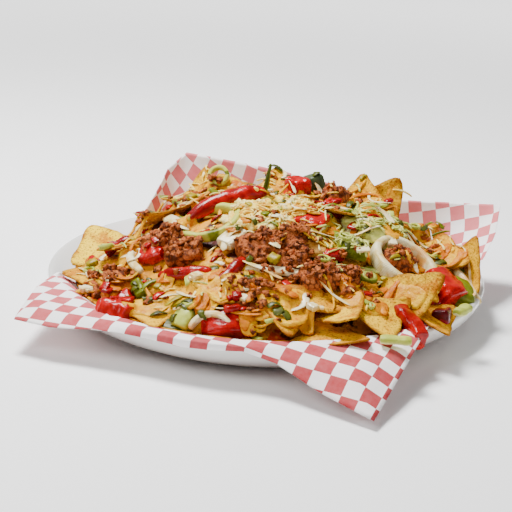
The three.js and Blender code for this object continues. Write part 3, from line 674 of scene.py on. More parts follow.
# The other paints: how each is made, its key and name, and its three colours in that order
for form, key, name, *colors in [
    (red_paint, "red", "red_pepper_flesh", (200, 0, 0), (226, 60, 26), (150, 0, 0)),
    (red_paint, "tomato", "tomato_flesh", (214, 18, 2), (240, 104, 60), (180, 4, 0)),
    (red_paint, "beet", "dark_red_flesh", (136, 14, 34), (176, 60, 80), (92, 6, 22)),
    (onion_paint, "onion", "white_onion", (246, 238, 204), (226, 204, 132)),
    (slice_paint, "green_onion", "green_onion_rings",
        (158, 182, 92), (222, 226, 176), (190, 204, 130)),
    (green_paint, "pale_green", "pale_green_flesh",
        (206, 212, 120), (238, 238, 184), (176, 184, 80)),
    (green_paint, "green", "green_pepper_flesh", (150, 158, 40), (210, 210, 112), (112, 118, 26)),
    (green_paint, "slaw", "shredded_cabbage", (222, 222, 148), (242, 238, 196), (190, 196, 104)),
    (green_paint, "olive", "pickled_pepper_flesh",
        (190, 172, 26), (226, 210, 90), (146, 128, 12)),
    (green_paint, "dark_green", "dark_leaf", (116, 120, 44), (170, 174, 92), (76, 80, 28)),
    (green_paint, "grey_green", "grey_green_rind", (112, 122, 88), (150, 156, 124), (62, 78, 42)),
    (slice_paint, "jalapeno", "jalapeno_rings", (132, 144, 40), (204, 206, 110), (228, 222, 150)),
    (cheese_paint, "mushroom", "mushroom_flesh", (222, 180, 110), (196, 142, 70), (120, 72, 30)),
    (cheese_paint, "cream_cheese", "creamy_cheese",
        (252, 244, 196), (246, 220, 112), (232, 172, 20)),
    (cheese_paint, "melted", "melted_cheese", (244, 206, 14), (228, 176, 0), (206, 134, 0)),
    (cheese_paint, "sauce", "orange_sauce", (226, 164, 0), (208, 134, 0), (182, 94, 0)),
    (green_paint, "stem", "dry_stem", (124, 136, 50), (150, 156, 74), (92, 100, 34)),
]:
    PAINTS[key] = form(name, *colors)


# Plate
def rounded(line):
    """A line of points with its corners cut twice, a quarter from each; its ends stay."""
    for _ in range(2):
        near, far = 0.75 * line[:-1] + 0.25 * line[1:], 0.25 * line[:-1] + 0.75 * line[1:]
        line = np.vstack([line[:1], np.stack([near, far], 1).reshape(-1, 2), line[-1:]])
    return line


def plate_piece():
    """The profile turned round the z axis, with its corners rounded by cutting them twice."""
    profile = np.vstack([PLATE_UNDER, PLATE_TOP[::-1]])
    line = rounded(profile[1:-1])
    around = np.linspace(0, 2 * math.pi, 144, endpoint=False)
    rings = np.stack([
        line[:, :1] * np.cos(around), line[:, :1] * np.sin(around), np.repeat(line[:, 1:], 144, 1),
    ], -1)
    heap = Heap()
    heap.add(*closed_skin(rings))
    return heap.piece("nacho_plate")


# Paper
def paper_edge_at(angle):
    """Where a ray from the plate's centre meets the paper's edge: radius and height, straight
    between the edge's points. A point with the height 0 lies on the plate."""
    ray = np.array([math.cos(angle), math.sin(angle)])
    for a, b in zip(PAPER_EDGE, np.roll(PAPER_EDGE, -1, 0)):
        before = ray[0] * a[1] - ray[1] * a[0]
        after = ray[0] * b[1] - ray[1] * b[0]
        if before <= 0 < after and ray.dot(a[:2]) > 0:
            t = before / (before - after)
            start, end = (p[2] or float(paper_level(math.hypot(p[0], p[1]))) for p in (a, b))
            at = a[:2] + (b[:2] - a[:2]) * t
            return math.hypot(*at), start + (end - start) * t
    raise ValueError("the paper's edge doesn't go all the way round")


def paper_spoke(angle):
    """The paper's middle along one ray, as radius and height, by the same rule as the frame's. It
    follows the plate, and then stands up in a shallow curve, lies down or hangs over the lip."""
    reach, height = paper_edge_at(angle)
    on_plate = reach < LIP_INSIDE
    reach = reach if on_plate else max(reach, LIP_FREE)
    lift = height - (float(paper_level(reach)) if on_plate else LIP_LEVEL)
    stands = lift > 3
    free = max(9, 0.2 * lift) if stands else (4 if reach > EDGE_NEAR else 12)
    leaves = min(LEAVES_BY, reach - free)
    level = float(paper_level(leaves))
    inner = [leaves * share for share in (0.32, 0.58, 0.76, 0.9, 1)]
    inner = [(r, float(paper_level(r))) for r in inner]
    if not (stands or on_plate):
        sag = 0.07 * (reach - LIP_PASSED)
        return inner + [
            (LIP_REST, LIP_LEVEL + 0.3), (LIP_PASSED, max(LIP_LEVEL - 0.2, height)),
            ((LIP_PASSED + reach) / 2 + 0.3, (LIP_LEVEL + height) / 2 + sag), (reach, height),
        ]
    outer = []
    for share in (0.25, 0.5, 0.75, 1):
        r = leaves + (reach - leaves) * share
        if stands:
            z = level + (height - level) * (share + (share * share - share) * 0.25)
        else:
            z = max(float(paper_level(r)), level + (height - level) * share)
        outer.append((r, z))
    return inner + outer


def spoke_angles(count):
    """Count directions all round, the first at the first spoke."""
    return np.radians(FIRST_SPOKE + np.arange(count) * 360 / count)


SPOKE_ANGLES = spoke_angles(PAPER_SPOKES)
SPOKES = np.array([paper_spoke(angle) for angle in SPOKE_ANGLES])


def paper_grid(across, along):
    """The paper's middle on a fine grid: straight between spokes, and along each of them 55 % of a
    cubic curve through its points and 45 % of the straight line between them."""
    index = np.arange(PAPER_SPOKES * across) / across
    left = index.astype(int) % PAPER_SPOKES
    share = (index % 1)[:, None, None]
    radii, levels = SPOKES[..., 0], SPOKES[..., 1]
    ahead, aside = np.cos(SPOKE_ANGLES)[:, None], np.sin(SPOKE_ANGLES)[:, None]
    corners = np.stack([radii * ahead, radii * aside, levels], -1)
    middle = np.zeros((PAPER_SPOKES, 1, 3))
    middle[..., 2] = float(paper_level(0))
    corners = np.concatenate([middle, corners], 1)
    spokes = corners[left] * (1 - share) + corners[(left + 1) % PAPER_SPOKES] * share
    steps = np.linspace(0, spokes.shape[1] - 1, along)
    at = np.minimum(steps.astype(int), spokes.shape[1] - 2)
    f = (steps - at)[None, :, None]
    before, here = spokes[:, np.maximum(at - 1, 0)], spokes[:, at]
    after, beyond = spokes[:, at + 1], spokes[:, np.minimum(at + 2, spokes.shape[1] - 1)]
    bend = (after - before) * f + (2 * before - 5 * here + 4 * after - beyond) * f**2
    bend += (3 * (here - after) + beyond - before) * f**3
    return 0.55 * (here + 0.5 * bend) + 0.45 * (here * (1 - f) + after * f)


def paper_piece():
    """A thin closed sheet on both sides of the grid, pushed out along its normals by smooth waves
    where it hangs or stands free. Its flat places start as path lengths along each ray."""
    grid = paper_grid(4, 46)
    angles = spoke_angles(len(grid))
    steps = np.linalg.norm(np.diff(grid, axis=1), axis=2)
    path = np.cumsum(np.pad(steps, ((0, 0), (1, 0))), axis=1)
    away = np.stack([np.cos(angles), np.sin(angles)], -1)[:, None]
    radius = np.hypot(grid[..., 0], grid[..., 1])
    rise, run = np.gradient(grid[..., 2], axis=1), np.gradient(radius, axis=1)
    normal = np.concatenate([-away * rise[..., None], run[..., None]], -1)
    normal /= np.hypot(rise, run)[..., None] + 1e-9
    free = np.clip((radius - WAVE_RADIUS) / WAVE_RADIUS_SPAN, 0, 1)
    stands = np.clip((grid[..., 2] - WAVE_HEIGHT) / WAVE_HEIGHT_SPAN, 0, 1)
    wave = value_noise(grid, 34, 5) * np.maximum(free, stands)
    grid = grid + normal * (wave * PAPER_WAVE)[..., None]
    above, under = (np.swapaxes(grid + normal * side, 0, 1) for side in (PAPER_HALF, -PAPER_HALF))
    heap = Heap()
    heap.add(*closed_skin(np.concatenate([above[1:], under[:0:-1]])))
    piece = heap.piece("checked_liner")
    flat = np.swapaxes(laid_flat(grid, path[..., None] * away), 0, 1)
    flat = np.vstack([flat[1:].reshape(-1, 2), flat[:0:-1].reshape(-1, 2), np.zeros((2, 2))])
    c, s = math.cos(CHECK_TURN), math.sin(CHECK_TURN)
    uv = flat @ np.array([[c, s], [-s, c]]) / CHECK_SIZE + 0.5
    layer = piece.data.uv_layers.new(name="flat")
    corner = np.empty(len(piece.data.loops), np.int32)
    piece.data.loops.foreach_get("vertex_index", corner)
    layer.data.foreach_set("uv", uv[corner].astype(np.float32).ravel())
    return piece, sheet_area(grid) * MM**2


def laid_flat(grid, flat, rounds=400):
    """Flat places of the sheet's points, moved by turns until neighbours are as far apart as on
    the sheet itself: along each thread, across the threads and along both diagonals."""
    steps = [(1, 0), (0, 1), (1, 1), (1, -1)]
    far = [np.linalg.norm(np.roll(grid, (-i, -j), (0, 1)) - grid, axis=2) for i, j in steps]
    held = [np.ones(flat.shape[:2] + (1,)) for _ in steps]
    held[1][:, -1] = held[2][:, -1] = held[3][:, 0] = 0
    weight = sum(h + np.roll(h, step, (0, 1)) for h, step in zip(held, steps))
    for _ in range(rounds):
        push = np.zeros_like(flat)
        for (i, j), length, hold in zip(steps, far, held):
            gap = np.roll(flat, (-i, -j), (0, 1)) - flat
            short = 0.5 - 0.5 * length / (np.linalg.norm(gap, axis=2) + 1e-9)
            pull = gap * hold * short[..., None]
            push += pull - np.roll(pull, (i, j), (0, 1))
        flat = flat + 1.3 * push / weight
        flat[:, 0] = flat[:, 0].mean(0)
    return flat


def sheet_area(grid):
    """The area of a grid that closes round on itself, as the sum of its cells' two triangles."""
    around = np.roll(grid, -1, 0)
    a, b = grid[:, :-1], grid[:, 1:]
    c, d = around[:, :-1], around[:, 1:]
    first = np.linalg.norm(np.cross(b - a, c - a), axis=2)
    second = np.linalg.norm(np.cross(b - d, c - d), axis=2)
    return float((first + second).sum() / 2)


# Chips
CHIP_POINTS = 48
CHIP_POWER = 4.6
CHIP_REACH = 0.334
# Steps that spread a row of numbers evenly over 0 to 1: place, turn, swing, size and bow
PLACE_STEP, TURN_STEP, SWING_STEP, SIZE_STEP, BOW_STEP = 0.381966, 0.618, 0.7548, 0.5698, 0.83
# The placed chips' seeds start here, and the first of them is the palest chip
FIRST_PLACED = PALEST_CHIP = 100


def heap_edge(index):
    """The heap's edge radius along one ray, with three soft bulges: inside the paper where that
    stands up, which its fifth point, where it leaves the plate, and its last one tell."""
    (leaves, level), (_, height) = SPOKES[index][4], SPOKES[index][8]
    reach = EDGE_REACH + EDGE_BULGE * math.sin(SPOKE_ANGLES[index] * 3 + 1.2)
    upright = height - level > 6 and leaves < LIP_TURN
    return min(reach, leaves - EDGE_GAP) if upright else reach


def chip_skin(side, bow, seed):
    """A rounded triangle: its reach is one over the root of its three sides' summed powers, with
    small waves. It is bowed with the square of y, and its rim is round. Share is 1 at the rim."""
    around = np.linspace(0, 2 * math.pi, CHIP_POINTS, endpoint=False)
    sides = [np.cos(around - math.radians(facing)) for facing in (60, 180, 300)]
    reach = sum(np.maximum(toward, 1e-3) ** CHIP_POWER for toward in sides) ** (-1 / CHIP_POWER)
    reach = CHIP_REACH * side * reach
    reach = reach * (1 + 0.025 * np.sin(around * 5 + seed) + 0.015 * np.sin(around * 9 + 2 * seed))
    half = CHIP_THICKNESS / 2
    section = [(0.3, half), (0.6, half), (0.85, half), (0.97, half * 0.9), (1.0, half * 0.3)]
    share, up = np.array(section + [(s, -z) for s, z in reversed(section)]).T[..., None]
    x, y = reach * share * np.cos(around), reach * share * np.sin(around)
    wave = 0.9 * value_noise(np.stack([x, y, np.full_like(x, seed * 31.0)], -1), 15, 3)
    rings = np.stack([x, y, up + 4 * bow * (y * y) / (side * side) + wave], -1)
    points, quads, triangles = closed_skin(rings)
    points[-2:, 2] = (half, -half)
    return points, quads, triangles, np.append(np.repeat(share, CHIP_POINTS), [0, 0])


def spiral_chip(i):
    """The frame's sunflower spiral: where the i-th chip lies, how it leans and its size."""
    around = i * PLACE_STEP % 1
    angle = math.radians(around * 360 + FIRST_SPOKE)
    reach = math.sqrt((i + 0.5) / CHIP_COUNT) * 0.86
    r = heap_edge(int(around * PAPER_SPOKES)) * reach
    x, y = r * math.cos(angle), r * math.sin(angle)
    swing = math.radians((i * SWING_STEP % 1) * 360)
    slope, sway = (0.4, 0.2) if reach > 0.6 else (1, 0.36)
    normal = food_normal(x, y) * (slope, slope, 1)
    normal += (sway * math.cos(swing), sway * math.sin(swing), 0)
    turn = math.radians(360 * (i * TURN_STEP % 1))
    pose = frame_at((x, y, float(food_height(x, y)) - 1.5), normal, turn)
    return pose, CHIP_SIDE * (0.86 + 0.26 * (i * SIZE_STEP % 1)), 3 + 3 * (i * BOW_STEP % 1), 0.0


def placed_chip(row):
    """A chip of the placed list: it leans from level towards a direction, turned in its plane."""
    x, y, rise, side, turn, lean, toward = row
    away, tilt = math.radians(toward), math.radians(lean)
    normal = (math.sin(tilt) * math.cos(away), math.sin(tilt) * math.sin(away), math.cos(tilt))
    pose = frame_at((x, y, float(food_height(x, y)) + rise), normal, away + math.pi)
    return pose, side, 5.0, math.radians(turn)


def topping_pose(piece):
    """The frame in which a topping lies: on the dome, along its normal, turned as its row says."""
    x, y = piece["x"], piece["y"]
    position = (x, y, float(food_height(x, y)) + piece["rise"])
    return frame_at(position, food_normal(x, y), math.radians(piece["turn"]))


def inside_toppings(points):
    """True for each point that lies in the box round some topping, half a millimetre wider."""
    hidden = np.zeros(len(points), bool)
    for piece in PIECES:
        pose = topping_pose(piece)
        across = piece["length"] if piece["kind"] == "ring" else piece["width"]
        half = np.array([piece["length"], across, piece["height"]]) / 2 + 0.5
        hidden |= (np.abs((points - pose[:, 3]) @ pose[:, :3]) < half).all(1)
    return hidden


def add_chip(heap, pose, side, bow, turn, seed, least):
    """One chip joins the heap, unless toppings hide most of it."""
    points, quads, triangles, share = chip_skin(side, bow, seed)
    c, s = math.cos(turn), math.sin(turn)
    points = moved(points @ np.array([[c, s, 0], [-s, c, 0], [0, 0, 1]]), pose)
    tint = 1.0 if seed == PALEST_CHIP else hashed(seed, 7) * 0.8
    if (~inside_toppings(points)).mean() > least:
        heap.add(points, quads, triangles, tint, share)


def chips_heap():
    """The spiral's chips and the placed ones."""
    heap = Heap()
    for i in range(CHIP_COUNT):
        add_chip(heap, *spiral_chip(i), i, 0.5)
    for i, row in enumerate(PLACED_CHIPS):
        add_chip(heap, *placed_chip(row), FIRST_PLACED + i, 0.2)
    return heap


# The bed under the pieces
def bed_heap():
    """The frame's core in fine relief: the dome, a swell of sines, and lumps of smooth noise and
    crumbs that fade at the edge. Share is high in the hollows and 1 underneath, for painted shade."""
    index = np.arange(PAPER_SPOKES * 8) / 8
    edges = np.array([heap_edge(k) for k in range(PAPER_SPOKES)])
    edge = np.interp(index, np.arange(PAPER_SPOKES + 1), np.append(edges, edges[0]))
    angle = spoke_angles(len(index))
    share = np.linspace(0.01, 1, 90)[:, None]
    r = edge * share
    x, y = r * np.cos(angle), r * np.sin(angle)
    swell = 1.6 * np.sin(x / 13 + 1) * np.cos(y / 11) * (1 - share)
    z = np.maximum(food_height(x, y) - CORE_DROP + swell, paper_level(r) + 3.4)
    top = np.stack([x, y, z], -1)
    lumps = 3.0 * value_noise(top, 17, 11) + 1.2 * crumbs(top, 6, 12)
    lumps = (lumps + 1.1 * value_noise(top, 5, 13)) * np.clip((1 - share) * 8, 0, 1)
    top[..., 2] += lumps
    floor = np.stack([x, y, paper_level(r) + 1.0], -1)[::-6][:12]
    # Painted shade: share grows in the hollows between lumps and is 1 on the bed's underside.
    hollow_shade = np.append(np.clip(-lumps / 3.2, 0, 1), np.ones(floor.shape[0] * floor.shape[1] + 2))
    heap = Heap()
    heap.add(*closed_skin(np.concatenate([top, floor])), 0.5, hollow_shade)
    return heap


# Toppings
# The share of a body's half length over which its end rounds off
CAP_SHARE = 0.05


def body_rings(piece):
    """Squared-off sections along a line that may bend, hump, taper or close, in the piece's frame.
    Each section's size follows the fourth root's curve of its place, from the ends' share to 1."""
    ends, square, stations, sides = KINDS[piece["kind"]]
    loop = piece["kind"] in ("ring", "small_ring")
    around = 2 * math.pi * (np.arange(sides) + 0.5) / sides
    if loop:
        t = np.linspace(-1, 1, stations, endpoint=False)
        swell = np.ones(len(t))
    else:
        t = -np.cos(np.linspace(0.0, math.pi, stations))
        body = ends + (1 - ends) * np.sqrt(1 - t**4)
        cap = np.clip((1 - np.abs(t)) / CAP_SHARE, 0, 1)
        swell = body * np.sqrt(1 - (1 - cap) ** 2) * (1 + piece["growth"] * t)
        swell = np.maximum(swell, 0.02)
    side = squared(np.cos(around), square) * piece["width"] / 2 * swell[:, None]
    up = squared(np.sin(around), square) * piece["height"] / 2 * swell[:, None]
    t = t[:, None] + 0 * side
    if loop:
        reach = piece["length"] / 2 - side
        rings = np.stack([reach * np.sin(math.pi * t), -reach * np.cos(math.pi * t), up], -1)
        return rings, t, around, loop
    along = t * piece["length"] / 2
    if piece["bend"]:
        bend = math.radians(piece["bend"])
        radius = piece["length"] / bend
        centre = radius * (1 + math.cos(bend / 2)) / 2
        reach = radius - side
        along, side = reach * np.sin(along / radius), centre - reach * np.cos(along / radius)
    return np.stack([along, side, up + piece["hump"] * (0.4 - t * t)], -1), t, around, loop


def uneven(strength):
    """Two layers of smooth noise, the finer one half as strong."""
    return [(strength, value_noise, 8, 1), (strength / 2, value_noise, 3, 2)]


# Relief of a topping, by the first of these words in its kind and name: an offset in millimetres,
# and the strength, form, size and seed of each layer
RELIEF = [
    ("clump ", -1.2, [
        (2.2, value_noise, 9, 1), (1.8, crumbs, 4.4, 2), (1.3, value_noise, 3.0, 3),
        (1.1, crumbs, 2.1, 4),
    ]),
    ("patch ", -1.6, [
        (3.0, value_noise, 12, 1), (3.4, crumbs, 7, 2), (1.2, value_noise, 3.4, 3),
        (1.0, crumbs, 2.8, 4),
    ]),
    ("chilli ", 0, [(0.8, value_noise, 9, 1), (0.25, value_noise, 3, 2)]),
    ("ring ", 0, [(0.5, value_noise, 8, 1)]),
    ("slice ", 0, [(0.35, value_noise, 5, 1)]),
    (" onion", 0, uneven(0.15)),
    (" cucumber", 0, uneven(0.25)),
    (" celery", 0, uneven(0.5)),
    (" tomato", -0.9, uneven(1.1) + [
        (1.9, crumbs, 6, 5), (0.6, value_noise, 2, 6), (1.7, value_noise, 12, 9),
    ]),
    ("wedge", 0, uneven(1.1) + [(1.8, value_noise, 14, 7), (0.9, value_noise, 5, 8)]),
    ("", 0, uneven(1.1)),
]


def outward(rings):
    """Unit directions from each ring's own middle, to push its points along."""
    away = rings - rings.mean(1, keepdims=True)
    return away / (np.linalg.norm(away, axis=2, keepdims=True) + 1e-6)


def topping_arrays(piece):
    """The piece's points, faces and share, with the relief of its kind pushed out from its line.
    Share runs from the top to the cut underside, round a ring, or out from a slice's middle."""
    rings, t, around, loop = body_rings(piece)
    key = piece["kind"] + " " + piece["name"]
    offset, layers = next(row[1:] for row in RELIEF if row[0] in key)
    spread = rings + piece["seed"] * 37.0
    relief = offset + sum(strength * form(spread, *rest) for strength, form, *rest in layers)
    share = 0.5 * (1 - (np.sin(around)[None, :] + 0 * t))
    if piece["kind"] == "ring":
        share = np.abs(t * 7) + 0.08 * around
    elif piece["kind"] == "slice":
        out = rings[..., 0] / (piece["length"] / 2), rings[..., 1] / (piece["width"] / 2)
        share = np.clip(np.hypot(*out), 0, 1)
    rings = rings + outward(rings) * relief[..., None]
    points, quads, triangles = closed_skin(rings, loop)
    if not loop:
        share = np.append(share.ravel(), [share.flat[0], share.flat[-1]])
    tip = math.radians(piece["tip"])
    c, s = math.cos(tip), math.sin(tip)
    points = moved(points @ np.array([[c, 0, s], [0, 1, 0], [-s, 0, c]]), topping_pose(piece))
    return points, quads, triangles, share.ravel()


# Material and slot of a topping, by the first of these words that its name has
PAINT_WORDS = [
    ("red_", "red", "red_pepper"), ("tomato", "tomato", "tomato"), ("beet", "beet", "beet"),
    ("meat", "meat", "meat"), ("cheese", "cream_cheese", "cheese"), ("cabbage", "slaw", "cabbage"),
    ("green_onion_slice", "green_onion", "green_onion"),
    ("green_onion", "pale_green", "green_onion"), ("onion", "onion", "onion"),
    ("mushroom", "mushroom", "mushroom"), ("stem", "stem", "stem"),
    ("jalapeno", "jalapeno", "green"), ("cucumber", "grey_green", "green"),
    ("leaf", "dark_green", "green"), ("lettuce", "pale_green", "green"),
    ("celery", "pale_green", "green"), ("", "green", "green"),
]


def look_of(name):
    """The material and the slot of a topping."""
    return next((paint, slot) for word, paint, slot in PAINT_WORDS if word in name)


def dress(piece, paint, slot, *nodes):
    """A finished piece gets its material, rides on the plate and stands for its nodes."""
    piece.data.materials.append(PAINTS[paint])
    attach(piece, "root")
    if nodes:
        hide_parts(*nodes)
    return piece


def topping_pieces():
    """Each topping in a piece of its own, and all of them in one heap for what lies on them."""
    heap = Heap()
    for piece in PIECES:
        *skin, share = topping_arrays(piece)
        alone = Heap()
        alone.add(*skin, hashed(piece["seed"], 3), share)
        dress(alone.piece("dressed_" + piece["name"]), *look_of(piece["name"]), piece["name"])
        heap.add(*skin)
    return heap


# Small things that lie on top: a pair of numbers is a range to draw from
SMALL = {
    "crumb": dict(kind="crumb", size=(1.8, 4.4), length=(1, 2.0), height=0.75, rough=1.0),
    "curd": dict(kind="crumb", size=(2.6, 7.0), length=(1, 1.6), height=0.6, rough=0.9),
    "shred": dict(
        kind="shred", length=(7, 17), width=(1.2, 2.2), thick=1.1, bend=(5, 80), hump=(0, 2)),
    "dice": dict(kind="dice", size=(3.5, 7.5), length=(1, 1.7), height=(0.3, 0.7), rough=0.2),
    "slip": dict(
        kind="slip", length=(8, 20), width=(2.2, 4.6), thick=1.3, bend=(10, 90), hump=1.5,
        rough=0.5),
    "ringlet": dict(kind="small_ring", length=(5, 9), width=(1.2, 2.0), height=(2, 4), rough=0.3),
    "sprig": dict(
        kind="leaf", size=(6, 14), width=(0.25, 0.6), thick=0.7, bend=(10, 90), hump=2.5,
        rough=1.3),
}


def tree_of(*heaps):
    """What already lies on the plate, to find where things that fall from above come to rest."""
    points, faces, start = [], [], 0
    for heap in heaps:
        p, q, t = heap.arrays()
        points.append(p)
        faces += (q + start).tolist() + (t + start).tolist()
        start += len(p)
    return BVHTree.FromPolygons(np.vstack(points).tolist(), faces)


def land(tree, x, y):
    """The highest point under x and y and the surface's normal there, or two times None."""
    hit, normal, _, _ = tree.ray_cast(Vector((x, y, 200.0)), Vector((0, 0, -1)))
    return (None, None) if hit is None else (np.array(hit), np.array(normal))


def heights(tree, x, y, default):
    """Heights of the food under arrays of x and y."""
    found = [land(tree, a, b)[0] for a, b in zip(x.ravel(), y.ravel())]
    return np.array([default if p is None else p[2] for p in found]).reshape(x.shape)


def anywhere(rng, reach=0.97):
    """A random place on the heap, as often in each part of its area."""
    angle = rng.uniform(0, 360)
    r = heap_edge(int(angle / 360 * PAPER_SPOKES)) * reach * math.sqrt(rng.uniform())
    at = math.radians(angle + FIRST_SPOKE)
    return r * math.cos(at), r * math.sin(at)


def kept_clear(x, y):
    """True over a chip that stays bare and over the band of an onion or pepper ring."""
    if any(math.hypot(x - at_x, y - at_y) < radius for at_x, at_y, radius in BARE):
        return True
    rings = (p for p in PIECES if p["kind"] == "ring")
    return any(abs(math.hypot(x - p["x"], y - p["y"]) - p["length"] / 2 + 3) < 7 for p in rings)


def near(*words, spread):
    """A rule that finds a place near one of the toppings whose names start with these words."""
    pieces = [piece for piece in PIECES if piece["name"].startswith(words)]

    def where(rng):
        for _ in range(9):
            piece = pieces[rng.integers(len(pieces))]
            x, y = piece["x"] + rng.normal(0, spread), piece["y"] + rng.normal(0, spread)
            if not kept_clear(x, y):
                break
        return x, y
    return where


LISTED_SPREAD = 3


def by_listed(places):
    """A rule that finds a place within a few millimetres of one of the listed ones."""
    def where(rng):
        return np.array(places[rng.integers(len(places))]) + rng.normal(0, LISTED_SPREAD, 2)
    return where


def about(x, y, wide, deep):
    """A rule that finds a place about a middle, spread by a width and a depth."""
    def where(rng):
        return rng.normal(x, wide), rng.normal(y, deep)
    return where


def drawn(rng, value):
    """A number as it is, or one drawn from between a pair."""
    return rng.uniform(*value) if isinstance(value, tuple) else value


def small_body(
    rng, kind, size=1, length=1, width=1, height=1, thick=None, bend=0, hump=0, rough=0.12,
):
    """One small body of a kind, in its own frame: length, width and height are shares of its size,
    unless it has a thickness of its own, and smooth noise makes it uneven."""
    size = drawn(rng, size)
    length, width = size * drawn(rng, length), size * drawn(rng, width)
    height = size * drawn(rng, height) if thick is None else thick
    piece = dict(
        kind=kind, length=length, width=width, height=height, bend=drawn(rng, bend),
        hump=drawn(rng, hump), growth=0,
    )
    rings, _, _, loop = body_rings(piece)
    relief = value_noise(rings + rng.uniform(0, 900), max(1.3, 0.34 * max(width, height)), 5)
    rings = rings + outward(rings) * (relief * rough * min(width, height))[..., None]
    return closed_skin(rings, loop)


def strew(heap, tree, rng, count, small, rise, where, upright=0.55):
    """Count small bodies are dropped from above and lie on what they meet, partly levelled."""
    for _ in range(count):
        hit, normal = land(tree, *where(rng))
        if hit is None or normal[2] < 0.15:
            continue
        points, quads, triangles = small_body(rng, **SMALL[small])
        normal = normal * (1 - upright) + (0, 0, upright)
        pose = frame_at(hit + (0, 0, rise), normal, rng.uniform(0, 2 * math.pi))
        heap.add(moved(points, pose), quads, triangles, rng.uniform())


def melt_patch(tree, x, y, size, thick, seed, fall=8.0):
    """A soft-edged sheet over what is under it: heights from above, made smoother twice, and a
    thickness that falls to its rim with the root of one less the square of the way out."""
    around = np.linspace(0, 2 * math.pi, 30, endpoint=False)
    circle = np.stack([np.cos(around), np.sin(around), np.full(30, seed * 7.3)], -1)
    rim = 0.42 * value_noise(circle, 0.9, seed) + 0.16 * value_noise(circle, 0.4, seed + 1)
    share = np.linspace(0.06, 1, 9)[:, None]
    reach = size * (1 + rim) * share
    px, py = x + reach * np.cos(around), y + reach * np.sin(around)
    middle = land(tree, x, y)[0]
    if middle is None:
        return None
    lowest = middle[2] - fall
    z = np.clip(heights(tree, px, py, lowest), lowest, middle[2] + 5)
    for _ in range(2):
        sides = (np.roll(z, 1, 1) + np.roll(z, -1, 1)) / 2
        inward = (np.vstack([z[:1], z[:-1]]) + np.vstack([z[1:], z[-1:]])) / 2
        z = 0.4 * z + 0.3 * sides + 0.3 * inward
    points = np.stack([px, py, z], -1)
    round_off = np.sqrt(1 - 0.98 * share**2)
    top = points + np.array([0, 0, 1.0]) * (thick * round_off + 0.2)[..., None]
    top[..., 2] += 0.9 * value_noise(top, 3.4, 9) * round_off
    return closed_skin(np.concatenate([top, (points - (0, 0, 1.2))[::-1]]))


def draped(tree, path, width, height, seed):
    """A soft string along a path, an ellipse in section: its height is the food's, averaged so
    that it bridges narrow gaps, and its ends taper with the root of one less the fifth power."""
    z = heights(tree, path[:, 0], path[:, 1], 0.0)
    kernel = np.array([1, 2, 3, 4, 3, 2, 1]) / 16
    for drop in (0.0, 0.4, 0.8):
        z = np.maximum(z - drop, np.convolve(np.pad(z, 3, "edge"), kernel, "valid"))
    z = np.convolve(np.pad(z, 3, "edge"), kernel, "valid")
    line = np.column_stack([path, z + height * 0.25])
    ahead = np.gradient(line, axis=0)
    ahead /= np.linalg.norm(ahead, axis=1, keepdims=True)
    side = np.cross((0, 0, 1.0), ahead)
    side /= np.linalg.norm(side, axis=1, keepdims=True)
    up = np.cross(ahead, side)
    t = np.linspace(-1, 1, len(path))
    swell = np.sqrt(1 - np.abs(t) ** 5) * (1 + 0.3 * value_noise(line, 9, seed)) + 0.02
    around = 2 * math.pi * np.arange(8) / 8
    across = (np.cos(around) * width / 2)[None, :, None] * swell[:, None, None]
    above = (np.sin(around) * height / 2)[None, :, None] * swell[:, None, None]
    return closed_skin(line[:, None] + side[:, None] * across + up[:, None] * above)


def curl(rng, x, y, length, bend, step=2.2):
    """A path on the plan: it starts at x, y with a random heading and keeps turning."""
    count = max(6, int(length / step))
    wander = np.cumsum(rng.normal(0, 0.05, count))
    heading = rng.uniform(0, 2 * math.pi) + np.linspace(0, math.radians(bend), count) + wander
    path = np.cumsum(np.column_stack([np.cos(heading), np.sin(heading)]) * step, 0)
    return path - path[count // 2] + (x, y)


def on_heap(path):
    """True where every point of a path is over the heap."""
    angle = (np.degrees(np.arctan2(path[:, 1], path[:, 0])) - FIRST_SPOKE) % 360
    edges = np.array([heap_edge(int(a / 360 * PAPER_SPOKES)) for a in angle])
    return (np.hypot(path[:, 0], path[:, 1]) < edges - 1).all()


def strings(heap, tree, rng, count, long, bend, width, height, where):
    """Count draped strings of a random length and curl, except where they would leave the heap."""
    for k in range(count):
        x, y = where(rng)
        path = curl(rng, x, y, rng.uniform(*long), rng.uniform(*bend) * rng.choice((-1, 1)))
        if on_heap(path):
            skin = draped(tree, path, rng.uniform(*width), rng.uniform(*height), k)
            heap.add(*skin, rng.uniform())


def patches(heap, tree, rng, count, size, thick, where):
    """Count melted patches of a random size."""
    for k in range(count):
        x, y = where(rng)
        skin = melt_patch(tree, x, y, rng.uniform(*size), rng.uniform(*thick), k)
        if skin is not None:
            heap.add(*skin, rng.uniform())


def spare(margin=1.5, let_by=0.1):
    """A rule that finds a place on the heap that large toppings, seen from above with a margin,
    leave free. The share let_by may land on them all the same."""
    large = [piece for piece in PIECES if piece["kind"] != "patch"]

    def covers(piece, x, y):
        turn = math.radians(piece["turn"])
        dx, dy = x - piece["x"], y - piece["y"]
        ahead = dx * math.cos(turn) + dy * math.sin(turn)
        aside = dy * math.cos(turn) - dx * math.sin(turn)
        return max(abs(ahead) - piece["length"] / 2, abs(aside) - piece["width"] / 2) < margin

    def where(rng):
        for _ in range(16):
            x, y = anywhere(rng)
            clear = rng.uniform() < let_by or not any(covers(piece, x, y) for piece in large)
            if clear and not kept_clear(x, y):
                break
        return x, y
    return where


def along(corners, step=2.0):
    """A smooth path through corners, with points a step apart."""
    path = rounded(np.array(corners, float))
    run = np.append(0, np.cumsum(np.linalg.norm(np.diff(path, axis=0), axis=1)))
    at = np.linspace(0, run[-1], max(6, int(run[-1] / step)))
    return np.column_stack([np.interp(at, run, path[:, 0]), np.interp(at, run, path[:, 1])])


